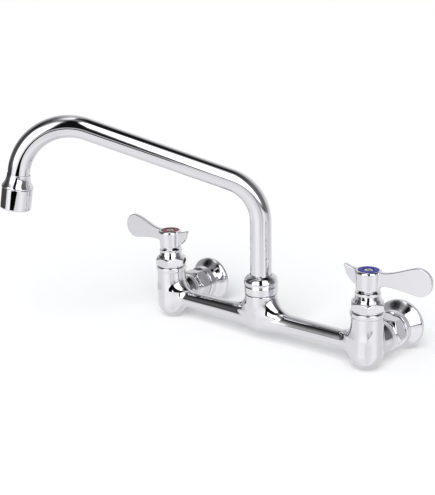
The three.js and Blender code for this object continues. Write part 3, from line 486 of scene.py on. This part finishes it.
def bonnet():
    """Headwork of a valve, in place over its barrel: hexagon, conical neck, skirt and sleeve."""
    flats, hex_height, hex_bore, room = 25, 7, 8.5, 15.2
    foot, hex_top = BONNET_FOOT_Z, BONNET_FOOT_Z + hex_height
    hexagon = implicit(hex_field(flats, foot, hex_top, 0.6, 1.6, hex_bore),
                       (-room, -room, foot - 1), (room, room, hex_top + 1), voxel=0.35)
    bore_r, sleeve_r, thread_r, neck_r, neck_top_r = 4.4, 8.0, 10.2, 11.6, 10.1
    sleeve_foot, thread_foot, skirt_foot, hidden = 5.9, 20.0, 28.8, foot + 1
    turned = lathe(rounded([
        (bore_r, sleeve_foot), (sleeve_r, sleeve_foot), (sleeve_r, thread_foot),
        (thread_r, thread_foot), (thread_r, hidden), (11.4, hidden), (11.4, skirt_foot),
        (12.2, skirt_foot, 0.2), (12.3, hidden), (neck_r, hidden), (neck_r, hex_top, 0.4),
        (10.4, hex_top + 2, 1.2), (9.8, hex_top + 5, 0.3), (neck_top_r, hex_top + 5.3, 0.2),
        (neck_top_r, BONNET_TOP_Z, 0.5), (bore_r, BONNET_TOP_Z), (bore_r, sleeve_foot)]))
    return joined(hexagon, turned)


# ---------------------------------------------------------------- handle
BLADE_THICKNESS, BLADE_EDGE = 3.6, 0.5
HUB_FOOT_R, HUB_FLARE = 9.6, 0.8
HUB_TOP_EDGE, HUB_FOOT_EDGE, BLADE_FILLET = 2.4, 1.0, 1.2
RECESS_R, RECESS_FLOOR = 8.1, 13.6
CAVITY_R, CAVITY_TOP, STEM_BORE_R = 7.0, 2.4, 4.0


def blade_outline():
    """Blade and fin: x along the blade from the hub's axis, y up from the hub's foot."""
    out = []

    def bezier(p0, p1, p2, p3, count=14):
        for k in range(count):
            t = k / count
            out.append([(1 - t) ** 3 * a + 3 * t * (1 - t) ** 2 * b + 3 * t * t * (1 - t) * c
                        + t ** 3 * d for a, b, c, d in zip(p0, p1, p2, p3)])

    def quad(p0, p1, p2):
        third = [[a + 2 / 3 * (b - a) for a, b in zip(end, p1)] for end in (p0, p2)]
        bezier(p0, third[0], third[1], p2, 10)

    shoulder, root = 14.9, 10.4
    paddle_r, paddle_x, paddle_y = 10.9, 42.0, 13.2
    low = paddle_y - paddle_r * 0.76
    enter, steps = math.radians(100), 40
    top = (paddle_x + paddle_r * math.cos(enter), paddle_y + paddle_r * math.sin(enter))
    foot = (top[0], paddle_y - paddle_r * math.sin(enter))
    bezier((root, shoulder), (root + 11, shoulder + 0.4), (top[0] - 9, top[1] - 2.2), top)
    for k in range(steps):
        t = enter - 2 * enter * k / steps
        out.append([paddle_x + paddle_r * math.cos(t), paddle_y + paddle_r * math.sin(t)])
    bezier(foot, (foot[0] - 8, foot[1] + 1.4), (paddle_x * 0.55, low + 0.2), (paddle_x * 0.38, low))
    quad((paddle_x * 0.38, low), (11.4, low - 0.2), (8.6, low - 4))
    out.append([8.6, low - 4])
    quad((-8.4, 0.6), (-15.1, 4.35), (-18.9, 9.57))
    quad((-21, 15.8), (-21, 17.4), (-19.4, 16.9))
    quad((-19.4, 16.9), (-14.7, shoulder), (-root, shoulder))
    return np.array(out)


def polygon_distance(px, py, poly):
    """Distance from points to a closed outline, negative inside it."""
    tiny = 1e-12
    best = np.full(px.shape, 1e9)
    inside = np.zeros(px.shape, bool)
    for (ax, ay), (bx, by) in zip(poly, np.roll(poly, -1, 0)):
        ex, ey = bx - ax, by - ay
        length = ex * ex + ey * ey
        if length < 1e-9:
            continue
        wx, wy = px - ax, py - ay
        t = np.clip((wx * ex + wy * ey) / length, 0, 1)
        best = np.minimum(best, (wx - t * ex) ** 2 + (wy - t * ey) ** 2)
        crosses = (ay > py) != (by > py)
        inside ^= crosses & (px < ex * (py - ay) / (ey if abs(ey) > tiny else tiny) + ax)
    return np.where(inside, -1, 1) * np.sqrt(best)


OUTLINE = blade_outline()


def handle_field(x, y, z):
    """The hot handle: blade to -X, z from the hub's foot."""
    flat = polygon_distance(-x, z, OUTLINE) + BLADE_EDGE
    across = np.abs(y) - BLADE_THICKNESS / 2 + BLADE_EDGE
    blade = np.sqrt(np.maximum(flat, 0) ** 2 + np.maximum(across, 0) ** 2) \
        + np.minimum(np.maximum(flat, across), 0) - BLADE_EDGE
    rho = np.sqrt(x * x + y * y)
    hub_r = HUB_FOOT_R + HUB_FLARE * np.clip((z - 1.6) / 11.4, 0, 1)
    hub = soft_max(rho - hub_r, z - HANDLE_HEIGHT, HUB_TOP_EDGE)
    hub = soft_max(hub, -z, HUB_FOOT_EDGE)
    body = soft_min(hub, blade, BLADE_FILLET)
    body = np.maximum(body, np.minimum(hub_r - rho, z - HANDLE_HEIGHT))
    recess = np.maximum(rho - RECESS_R, RECESS_FLOOR - z)
    cavity = np.maximum(rho - CAVITY_R, z - CAVITY_TOP)
    bore = rho - STEM_BORE_R
    return soft_max(soft_max(body, -recess, 0.3), -np.minimum(cavity, bore), 0.2)


# ---------------------------------------------------------------- index ring and screw
INDEX_FOOT_Z, INDEX_TOP_Z = 60.6, 62.1
SCREW_HEAD_R, SCREW_HEAD_FOOT_Z, SCREW_TOP_Z = 3.6, 60.7, 62.4
SCREW_DOME = 0.07  # how fast the head falls with the square of the radius
CROSS_HALF_WIDTH, CROSS_REACH, CROSS_FLOOR_Z = 0.45, 2.16, 61.2
SHANK_R, SHANK_FOOT_Z, SHANK_TOP_Z = 1.9, 52.6, 61


def index_ring():
    """Coloured ring in the top of the handle, with rounded upper edges."""
    inner, outer, shoulder = 4.1, 7.8, INDEX_TOP_Z - 0.2
    return lathe(rounded([
        (inner, INDEX_FOOT_Z), (outer, INDEX_FOOT_Z), (outer, shoulder, 0.2),
        (outer - 0.2, INDEX_TOP_Z, 0.2), (inner + 0.2, INDEX_TOP_Z, 0.2), (inner, shoulder),
        (inner, INDEX_FOOT_Z)]), 72)


def screw_field(x, y, z):
    """Handle screw: domed head with a cross recess, and its shank below."""
    rho = np.sqrt(x * x + y * y)
    head = soft_max(rho - SCREW_HEAD_R, z - SCREW_TOP_Z + SCREW_DOME * rho * rho, 0.4)
    head = soft_max(head, SCREW_HEAD_FOOT_Z - z, 0.2)
    near, far = np.minimum(np.abs(x), np.abs(y)), np.maximum(np.abs(x), np.abs(y))
    recess = np.maximum(np.maximum(near - CROSS_HALF_WIDTH, far - CROSS_REACH), CROSS_FLOOR_Z - z)
    shank = np.maximum(rho - SHANK_R, np.maximum(SHANK_FOOT_Z - z, z - SHANK_TOP_Z))
    return np.minimum(soft_max(head, -recess, 0.15), shank)


# ---------------------------------------------------------------- inlet pieces, axis up
WALL = -BODY_Y
NUT_FLATS, NUT_NEAR, NUT_FAR = 27, 26.3, 39.3
FLANGE_NEAR, FLANGE_RIM = 39.6, 54.35


def coupling_nut():
    """Hexagon with both ends chamfered, and the short neck towards the barrel."""
    room, bore = 17, 10.9
    hexagon = implicit(hex_field(NUT_FLATS, NUT_NEAR, NUT_FAR, 2, 2, 8.5),
                       (-room, -room, NUT_NEAR - 0.9), (room, room, NUT_FAR + 0.9), voxel=0.45)
    neck = lathe(rounded([(bore, 24.8), (12.4, 24.8, 0.4), (13.2, 25.6, 0.4), (13.4, 27.2),
                          (bore, 27.2), (bore, 24.8)]))
    return joined(hexagon, neck)


def wall_flange():
    """Bell-shaped flange against the wall, with the pipe socket inside it."""
    near, rim, hollow = FLANGE_NEAR, FLANGE_RIM, FLANGE_NEAR + 10.9
    bore, socket, socket_wall, rim_r = 8.5, 9.3, 12.3, 20.85
    return lathe(
        rounded([(bore, near), (14.0, near), (15.1, near + 0.5, 0.5), (15.4, near + 7.6, 0.8)])
        + spline([(15.9, near + 8.5), (17.6, near + 10.4), (19.2, near + 12.2), (20.2, rim - 1.3)])
        + rounded([(20.3, rim - 1.1), (rim_r, rim - 0.2, 0.4), (rim_r, WALL, 0.3),
                   (18.25, WALL, 0.2), (18.25, rim + 0.8, 0.5), (13.9, hollow, 0.8),
                   (socket_wall, hollow, 0.5), (socket_wall, WALL, 0.2), (socket, WALL, 0.2),
                   (socket, 44.3), (bore, 44.3), (bore, near)]), 128)


def tailpiece():
    """Brass collar and neck that the coupling nut draws to the barrel."""
    bore, collar_r, neck_r = 5.8, 10.6, 8.2
    return lathe(rounded([(bore, 33.7), (collar_r, 33.7), (collar_r, 36.5), (neck_r, 36.5),
                          (neck_r, 44.0), (bore, 44.0, 0.3), (bore, 33.7)]), 64)


def washer_ring():
    """The rim of the bonnet washer, all of it that shows."""
    foot, top = washer_low[2], washer_high[2]
    return lathe([(10.5, foot), (11.2, foot), (11.2, top), (10.5, top), (10.5, foot)], 96)


# ---------------------------------------------------------------- the two valves
# The boxes in which the surfaces of the hot handle and of the screw are looked for.
HANDLE_ROOM = (-54.5, -11.6, -1), (22.6, 11.6, 25.4)
SCREW_ROOM = (-3.9, -3.9, 52.2), (3.9, 3.9, 62.8)
headwork = bonnet()
washer = washer_ring()
handle = implicit(handle_field, *HANDLE_ROOM, voxel=0.4)
ring = index_ring()
screw = implicit(screw_field, *SCREW_ROOM, voxel=0.2)
coupling = coupling_nut()
flange = wall_flange()
tail = tailpiece()

for name, side, index, nut_turn in (("hot", -1, red_index, -7), ("cold", 1, blue_index, 9)):
    valve = place(turn=math.pi if side > 0 else 0, at=(side * INLET_X, BODY_Y, 0))
    lever = valve @ Matrix.Translation((0, 0, HANDLE_FOOT_Z))
    inlet = place(at=(side * INLET_X, BODY_Y, 0), tilt=-math.pi / 2)
    nut_place = inlet @ Matrix.Rotation(math.radians(nut_turn), 4, "Z")
    turning = f"{name}_handle_set"
    piece(f"{name}_headwork", moved(headwork, valve), chrome, "body", [f"{name}_bonnet"])
    piece(f"{name}_washer", moved(washer, valve), nylon, "body",
          [f"{name}_bonnet_washer"])
    lever_piece = piece(f"{name}_lever", moved(handle, lever), lever_chrome, turning,
                        [f"{name}_handle"])
    # The hollow under the handle: bare metal darkened as painted shade, so the gap over the bonnet
    # reads dark.
    shade_bare_cavity(lever_piece, shaded_bare_casting, (side * INLET_X, BODY_Y), CAVITY_R + 0.6,
               HANDLE_FOOT_Z + CAVITY_TOP + 0.4)
    piece(f"{name}_index", moved(ring, valve), index, turning,
          [f"{name}_index_ring"])
    piece(f"{name}_screw", moved(screw, valve), steel, turning, [f"{name}_handle_screw"])
    piece(f"{name}_union_nut", moved(coupling, nut_place), spun_chrome, "body",
          [f"{name}_coupling_nut"])
    piece(f"{name}_flange", moved(flange, inlet), spun_chrome, "body",
          [f"{name}_wall_flange"])
    piece(f"{name}_tail", moved(tail, inlet), brass, "body", [f"{name}_tailpiece"])


# ---------------------------------------------------------------- spout
SPOUT_FOOT_Z = cad_box("spout_tube")[0][2]
RISER, RISER_BEND_R = 64.7, 38.0  # the straight length above the foot, and the bend after it
ARM, ARM_RISE = 121.6, math.radians(21.05)
GOOSENECK_R, NECK = 42.5, 6.0
OUTLET_LEAN = math.radians(10.1)
SPOUT = place(turn=SPOUT_TURN, at=(0, BODY_Y, 0))


def spout_path():
    """Stations (reach, height, heading) of the tube's centre line, and where the gooseneck ends."""
    heading, reach, height = math.pi / 2, 0.0, SPOUT_FOOT_Z
    out = [(reach, height, heading)]

    def run(length):
        nonlocal reach, height
        reach += length * math.cos(heading)
        height += length * math.sin(heading)
        out.append((reach, height, heading))

    def bend(radius, end, steps):
        nonlocal reach, height, heading
        turn = (heading - end) / steps
        for _ in range(steps):
            heading -= turn / 2
            chord = 2 * radius * math.sin(turn / 2)
            reach += chord * math.cos(heading)
            height += chord * math.sin(heading)
            heading -= turn / 2
            out.append((reach, height, heading))

    run(RISER)
    bend(RISER_BEND_R, ARM_RISE, 36)
    run(ARM)
    bend(GOOSENECK_R, OUTLET_LEAN - math.pi / 2, 56)
    neck_foot = out[-1]
    run(NECK)
    return out, neck_foot


def tube(stations, outer, inner):
    """Open pipe along the stations, in the plane x = 0, reaching towards -Y."""
    count = 96
    turn = np.arange(count) * 2 * math.pi / count
    verts, faces, normals = [], [], []
    rings = [(outer, s) for s in stations] + [(inner, s) for s in reversed(stations)]
    away = []
    for radius, (reach, height, heading) in rings:
        side = np.array([1.0, 0, 0])
        up = np.array([0, math.sin(heading), math.cos(heading)])
        around = np.outer(np.cos(turn), side) + np.outer(np.sin(turn), up)
        verts.append(np.array([0, -reach, height]) + radius * around)
        away.append(around * (1 if radius == outer else -1))
    verts = np.concatenate(verts)
    total = len(rings)
    for i in range(total):
        j = (i + 1) % total
        cap = i in (len(stations) - 1, total - 1)
        for k in range(count):
            m = (k + 1) % count
            face = [i * count + k, j * count + k, j * count + m, i * count + m]
            faces.append(face)
            if cap:
                a, b, c = (verts[q] for q in face[:3])
                flat = np.cross(b - a, c - a)
                normals += [flat / np.linalg.norm(flat)] * 4
            else:
                normals += [away[i][k], away[j][k], away[j][m], away[i][m]]
    part = shell(verts, faces, normals)
    a, b, c = (part["v"][[f[q] for f in faces]] for q in range(3))
    facing = np.einsum("ij,ij->i", np.cross(b - a, c - a), part["n"][::4]).sum()
    if facing < 0:
        part["f"] = [f[::-1] for f in faces]
        part["n"] = part["n"].reshape(-1, 4, 3)[:, ::-1].reshape(-1, 3)
    return part


def spout_bead():
    """Rolled bead near the spout's foot, where the nut holds it."""
    inner, tube_side, outer, foot, top = 8.5, 9.6, 11.2, 33.2, 35.4
    return lathe(rounded([(inner, foot), (tube_side, foot), (outer, foot + 0.3, 0.4),
                          (outer, top, 0.5), (tube_side, top), (inner, top), (inner, foot)]), 72)


def union_nut():
    """Round nut on the hub: plain skirt, groove and domed shoulder."""
    foot, top, bore, thread_r, ceiling = NUT_FOOT_Z, NUT_TOP_Z, 9.3, 12.2, 35.9
    return lathe(
        rounded([(bore, ceiling), (thread_r, ceiling), (thread_r, foot), (13.6, foot, 0.5),
                 (14.1, foot + 1.2, 0.5), (14.15, foot + 6.4, 0.3), (13.6, foot + 7.6, 0.4),
                 (14.3, foot + 8.2, 0.4)])
        + spline([(14.42, foot + 8.8), (14.5, foot + 9.9), (14.3, foot + 11.4), (13.6, ceiling),
                  (12.4, foot + 14.7), (11.0, foot + 15.6), (9.9, top - 0.15)])
        + rounded([(9.7, top, 0.1), (bore, top), (bore, ceiling)]), 128)


stations, (neck_reach, neck_height, _) = spout_path()
piece("spout_pipe", moved(joined(tube(stations, TUBE_R, TUBE_R - TUBE_WALL), spout_bead()), SPOUT),
      chrome, "spout", ["spout_tube"])
piece("spout_union", moved(union_nut(), BODY), chrome, "body", ["spout_nut"])


# ---------------------------------------------------------------- outlet, axis up from the neck
BELL_FOOT, BELL_TOP = -13.6, -2.4
SHELL_TOP, SHELL_FOOT = -13.9, -31.5
OUTLET = SPOUT @ place(at=(0, -neck_reach, neck_height), tilt=-OUTLET_LEAN)


def outlet_bell():
    """Flared end fitting of the spout, with its threaded skirt hidden in the shell."""
    bore, skirt_r, socket_r, skirt_foot, seat = 8.0, 10.6, 9.3, BELL_FOOT - 5, -6.3
    return lathe(
        [(bore, skirt_foot), (skirt_r, skirt_foot), (skirt_r, BELL_FOOT), (12.5, BELL_FOOT)]
        + spline([(12.75, BELL_FOOT + 0.25), (12.8, BELL_FOOT + 0.7), (12.65, BELL_FOOT + 1.4),
                  (11.8, BELL_FOOT + 2.8), (10.6, BELL_FOOT + 5.0), (9.85, BELL_FOOT + 7.2),
                  (9.5, BELL_FOOT + 9.2), (9.4, BELL_TOP - 0.2), (9.37, BELL_TOP)], 7)
        + [(socket_r, BELL_TOP), (socket_r, seat), (bore, seat), (bore, skirt_foot)], 96)


def aerator_shell():
    """Straight shell under the bell, with a rounded lip."""
    lip_r, inner, outer = 9.6, 10.9, 12.4
    return lathe(rounded([
        (lip_r, SHELL_FOOT, 0.3), (11.9, SHELL_FOOT, 0.5), (outer, SHELL_FOOT + 1.0, 0.8),
        (outer, SHELL_TOP, 0.4), (inner, SHELL_TOP), (inner, SHELL_FOOT + 1.6),
        (lip_r, SHELL_FOOT + 1.6)]), 96)


piece("outlet_fitting", moved(outlet_bell(), OUTLET), chrome, "spout", ["outlet_bell"])
piece("outlet_shell", moved(aerator_shell(), OUTLET), chrome, "spout", ["aerator_shell"])


# ---------------------------------------------------------------- carried-over solids
LOOKS = {"chrome": chrome, "brass": brass, "steel": steel, "ceramic_white": ceramic_white,
         "ceramic_grey": ceramic_grey, "rubber": rubber, "nylon": nylon,
         "red_index": red_index, "blue_index": blue_index}
slots = {s["node"]: s["material_slot"] for s in frame["record"]["subparts"]}
for name, obj in frame["nodes"].items():
    # The stems get the brass with painted shade, so the gap under each handle reads dark.
    look = greased_brass if name.endswith("_stem") else LOOKS[slots[name]]
    obj.material_slots[0].material = look


# ---------------------------------------------------------------- floor and lamp
FLOOR_Z = -21.0
FLOOR_HALF = 6.0  # metres
FLOOR_LIFT = 0.03  # how much the paper glows by itself
LAMP_FROM = (0.5, -1.0, 0.95)  # a direction


def plane(name, material, corners):
    """A flat four-cornered object, its corners in metres."""
    mesh = bpy.data.meshes.new(name)
    mesh.from_pydata(corners, [], [(0, 1, 2, 3)])
    mesh.materials.append(material)
    obj = bpy.data.objects.new(name, mesh)
    scene.collection.objects.link(obj)
    return obj


def floor_finish():
    """White paper that takes the shadow; polished metal looks past it to the studio below."""
    mat = bpy.data.materials.new("floor")
    mat.use_nodes = True
    nodes, links = mat.node_tree.nodes, mat.node_tree.links
    paper = nodes["Principled BSDF"]
    for key, value in (("Base Color", (1, 1, 1, 1)), ("Roughness", 1), ("Specular IOR Level", 0),
                       ("Emission Color", (1, 1, 1, 1))):
        paper.inputs[key].default_value = value
    rays = nodes.new("ShaderNodeLightPath").outputs
    lift = nodes.new("ShaderNodeMath")
    lift.operation = "MULTIPLY"
    lift.inputs[1].default_value = FLOOR_LIFT
    links.new(rays["Is Camera Ray"], lift.inputs[0])
    links.new(lift.outputs[0], paper.inputs["Emission Strength"])
    passed = nodes.new("ShaderNodeBsdfTransparent")
    both = nodes.new("ShaderNodeMixShader")
    links.new(rays["Is Glossy Ray"], both.inputs[0])
    links.new(paper.outputs[0], both.inputs[1])
    links.new(passed.outputs[0], both.inputs[2])
    links.new(both.outputs[0], nodes["Material Output"].inputs["Surface"])
    return mat


def paper_floor():
    """The paper under the faucet."""
    ends = (-FLOOR_HALF, FLOOR_HALF)
    obj = plane("floor", floor_finish(), [(ends[0], ends[0], 0), (ends[1], ends[0], 0),
                                          (ends[1], ends[1], 0), (ends[0], ends[1], 0)])
    obj.location = (0, 0, FLOOR_Z * MM)


def front_light():
    """One wide soft sun from above the front, on the cold side; polished metal doesn't show it."""
    lamp = bpy.data.lights.new("front_light", "SUN")
    lamp.energy = 2.08
    lamp.angle = math.radians(42)
    lamp.color = (1, 0.99, 0.97)
    obj = bpy.data.objects.new("front_light", lamp)
    scene.collection.objects.link(obj)
    obj.rotation_euler = (-Vector(LAMP_FROM)).to_track_quat("-Z", "Y").to_euler()
    obj.visible_glossy = False


paper_floor()
front_light()


# ---------------------------------------------------------------- studio that polished metal shows
MIRROR_LIGHT = 1.35
SOFT_LIGHT = 0.58


def light_of(tone):
    """Light of a grey tone, 0 black to 1 white."""
    return tone ** 2.2


def studio_board(name, tone, ahead, away, half_width, low, high):
    """Plain upright backdrop, `away` mm from the outlet towards azimuth `ahead`, that only polished
    metal shows; it stands clear of the faucet and holds back no light."""
    mat = bpy.data.materials.new(name)
    mat.use_nodes = True
    nodes, links = mat.node_tree.nodes, mat.node_tree.links
    glow = nodes.new("ShaderNodeEmission")
    glow.inputs["Color"].default_value = (*[light_of(tone)] * 3, 1)
    glow.inputs["Strength"].default_value = MIRROR_LIGHT
    links.new(glow.outputs[0], nodes["Material Output"].inputs["Surface"])
    corners = [(-half_width, low), (half_width, low), (half_width, high), (-half_width, high)]
    obj = plane(name, mat, [(across * MM, 0, z * MM) for across, z in corners])
    turn = math.radians(ahead)
    outlet = OUTLET @ Vector((0, 0, -20))
    obj.location = ((outlet.x + away * math.sin(turn)) * MM,
                    (outlet.y + away * math.cos(turn)) * MM, 0)
    obj.rotation_euler = (0, 0, math.pi - turn)
    for ray in ("camera", "diffuse", "transmission", "volume_scatter", "shadow"):
        setattr(obj, f"visible_{ray}", False)


# Their places and edges were worked out from where the photo's dark bands on the outlet mirror to.
studio_board("side_backdrop", 0.27, -113, 300, 225, 28, 140)
studio_board("front_backdrop", 0.06, 152, 450, 195, -17, 60)

# Tone of the studio, 0 black to 1 white, round the object at ten elevations (degrees above the
# floor); azimuth from the wall side, clockwise seen from above. Above 1 it is a soft box.
# The tones were read from the photo: a table of its greys by mirrored direction, then changed.
# That is an open fault of this scene, and a few plain soft boxes should take their place.
BOX = 1.35
RINGS = {
    -45: [(-180, 0.88), (-12, 0.77), (60, 0.8), (102, 0.9), (132, 0.85), (180, 0.88)],
    -22: [(-180, 0.92), (-156, 0.91), (-148, 0.85), (60, 0.81), (96, 0.92), (144, 0.85),
          (180, 0.92)],
    -6: [(-180, 0.95), (-168, 0.95), (-156, 0.88), (-132, 0.8), (-120, 0.75), (-96, 0.7),
         (-50, 0.8), (0, 0.85), (36, 0.8), (48, 0.62), (66, 0.75), (84, 0.8), (96, 0.9),
         (108, 0.88), (120, 0.62), (126, 0.55), (132, 0.78), (140, 0.75), (145, 0.68),
         (151, 0.68), (157, 0.9), (168, 0.95), (180, 0.95)],
    -2: [(-180, 1.0), (-158, 0.9), (-152, 0.55), (-144, 0.38), (-120, 0.25), (-108, 0.25),
         (-96, 0.3), (-84, 0.5), (-36, 0.8), (0, 0.84), (34, 0.7), (48, 0.5), (86, 0.33),
         (100, 0.32), (112, 0.52), (132, 0.44), (140, 0.1), (152, 0.1), (155, 0.4), (158, 1.0),
         (180, 1.0)],
    6: [(-180, BOX), (-158, BOX), (-152, 0.59), (-144, 0.38), (-120, 0.25), (-108, 0.28),
        (-96, 0.43), (-84, 0.55), (-60, 0.67), (-36, 0.8), (0, 0.84), (34, 0.75), (48, 0.49),
        (60, 0.39), (86, 0.43), (92, 0.76), (98, BOX), (133, BOX), (136.5, 0.4), (139, 0.1),
        (154, 0.1), (156, 0.4), (158, BOX), (180, BOX)],
    32: [(-180, BOX), (-158, BOX), (-152, 0.62), (-144, 0.34), (-120, 0.25), (-104, 0.25),
         (-84, 0.6), (-60, 0.7), (-40, 0.83), (0, 0.78), (24, 0.66), (40, 0.47), (54, 0.38),
         (84, 0.37), (91, 0.6), (97, BOX), (131, BOX), (134, 0.4), (137, 0.1), (156.5, 0.1),
         (159, 0.45), (161.5, BOX), (180, BOX)],
    50: [(-180, 0.9), (-168, 0.68), (-156, 0.48), (-144, 0.3), (-130, 0.12), (-112, 0.08),
         (-100, 0.25), (-72, 0.47), (-50, 0.63), (-30, 0.52), (8, 0.43), (30, 0.28), (72, 0.24),
         (80, 0.4), (88, 0.87), (94, BOX), (132, BOX), (135, 0.45), (138, 0.1), (152, 0.06),
         (158, 0.3), (163, 0.85), (170, 0.98), (180, 0.9)],
    62: [(-180, 0.52), (-156, 0.37), (-132, 0.22), (-84, 0.33), (-60, 0.6), (-48, 0.83),
         (-30, 0.7), (-14, 0.3), (-2, 0.14), (40, 0.09), (56, 0.2), (66, 0.36), (78, 0.6),
         (90, 0.82), (98, 0.95), (106, BOX), (120, BOX), (127, 0.7), (134, 0.15), (150, 0.08),
         (168, 0.35), (180, 0.52)],
    69: [(-180, 0.55), (-120, 0.4), (-60, 0.7), (-42, 0.7), (-30, 0.36), (-22, 0.26), (-8, 0.12),
         (18, 0.07), (70, 0.12), (88, 0.18), (98, 0.36), (112, 0.55), (126, 0.45), (150, 0.3),
         (180, 0.55)],
    82: [(-180, 0.9), (-40, 1.0), (-24, 0.6), (-10, 0.22), (20, 0.15), (60, 0.24), (80, 0.42),
         (100, 0.35), (120, 0.45), (150, 0.6), (165, 0.8), (180, 0.9)],
}


def studio_world():
    """Rings of tone for mirror rays, white for the camera, and a soft even light for the rest."""
    world = bpy.data.worlds.new("studio")
    world.use_nodes = True
    nodes, links = world.node_tree.nodes, world.node_tree.links
    nodes.clear()

    def node(kind, *inputs, **settings):
        made = nodes.new("ShaderNode" + kind)
        for key, value in settings.items():
            setattr(made, key, value)
        for socket, value in zip(made.inputs, inputs):
            if hasattr(value, "is_output"):
                links.new(value, socket)
            else:
                socket.default_value = value
        return made

    def fade(value, low, high):
        return node("MapRange", value, low, high, interpolation_type="SMOOTHSTEP").outputs["Result"]

    way = node("SeparateXYZ", node("TexCoord").outputs["Generated"]).outputs
    turn = node("Math", way["X"], way["Y"], operation="ARCTAN2").outputs[0]
    turn = node("MapRange", turn, -math.pi, math.pi, 0, 1).outputs["Result"]
    rise = node("Math", way["Z"], operation="ARCSINE").outputs[0]
    rise = node("Math", rise, 180 / math.pi, operation="MULTIPLY").outputs[0]
    tone, below = None, None
    for height, stops in RINGS.items():
        ramp = node("ValToRGB", turn)
        bar = ramp.color_ramp
        bar.interpolation = "EASE"
        for k, (azimuth, value) in enumerate(stops):
            position = (azimuth + 180) / 360
            stop = bar.elements[k] if k < 2 else bar.elements.new(position)
            stop.position = position
            stop.color = (*[light_of(value)] * 3, 1)
        ring = ramp.outputs["Color"]
        if tone is None:
            tone = ring
        else:
            tone = node("MixRGB", fade(rise, below, height), tone, ring).outputs["Color"]
        below = height
    light = node("LightPath").outputs
    mirrored = node("Background", tone, MIRROR_LIGHT)
    soft = node("Background", (0.95, 0.97, 1, 1), SOFT_LIGHT)
    plain = node("Background", (1, 1, 1, 1), 1)
    seen = node("MixShader", light["Is Camera Ray"], soft.outputs[0], plain.outputs[0])
    out = node("MixShader", light["Is Glossy Ray"], seen.outputs[0], mirrored.outputs[0])
    node("OutputWorld", out.outputs[0])
    return world


scene.world = studio_world()


# ---------------------------------------------------------------- camera
PHOTO_HEIGHT, FOCAL_LENGTH = 495, 868.71  # pixels
SENSOR = 36  # mm, along the photo's height
AZIMUTH, ELEVATION, ROLL = math.radians(39.361), math.radians(16.547), math.radians(-1.385)
STANDPOINT = (0.411701, -0.615858, 0.269052)  # metres


def photo_camera():
    """Camera that sees the faucet as the photo does."""
    camera = bpy.data.cameras.new("camera")
    camera.sensor_width = SENSOR
    camera.lens = FOCAL_LENGTH * SENSOR / PHOTO_HEIGHT
    camera.clip_start = 0.01
    camera.clip_end = 50
    obj = bpy.data.objects.new("camera", camera)
    scene.collection.objects.link(obj)
    ahead = Vector((-math.sin(AZIMUTH) * math.cos(ELEVATION),
                    math.cos(AZIMUTH) * math.cos(ELEVATION), -math.sin(ELEVATION)))
    right = Vector((math.cos(AZIMUTH), math.sin(AZIMUTH), 0))
    up = right.cross(ahead)
    right, up = (math.cos(ROLL) * right + math.sin(ROLL) * up,
                 -math.sin(ROLL) * right + math.cos(ROLL) * up)
    turned = Matrix((right, up, -ahead)).transposed().to_4x4()
    obj.matrix_world = Matrix.Translation(STANDPOINT) @ turned
    return obj


scene.camera = photo_camera()
scene.view_settings.view_transform = "Standard"
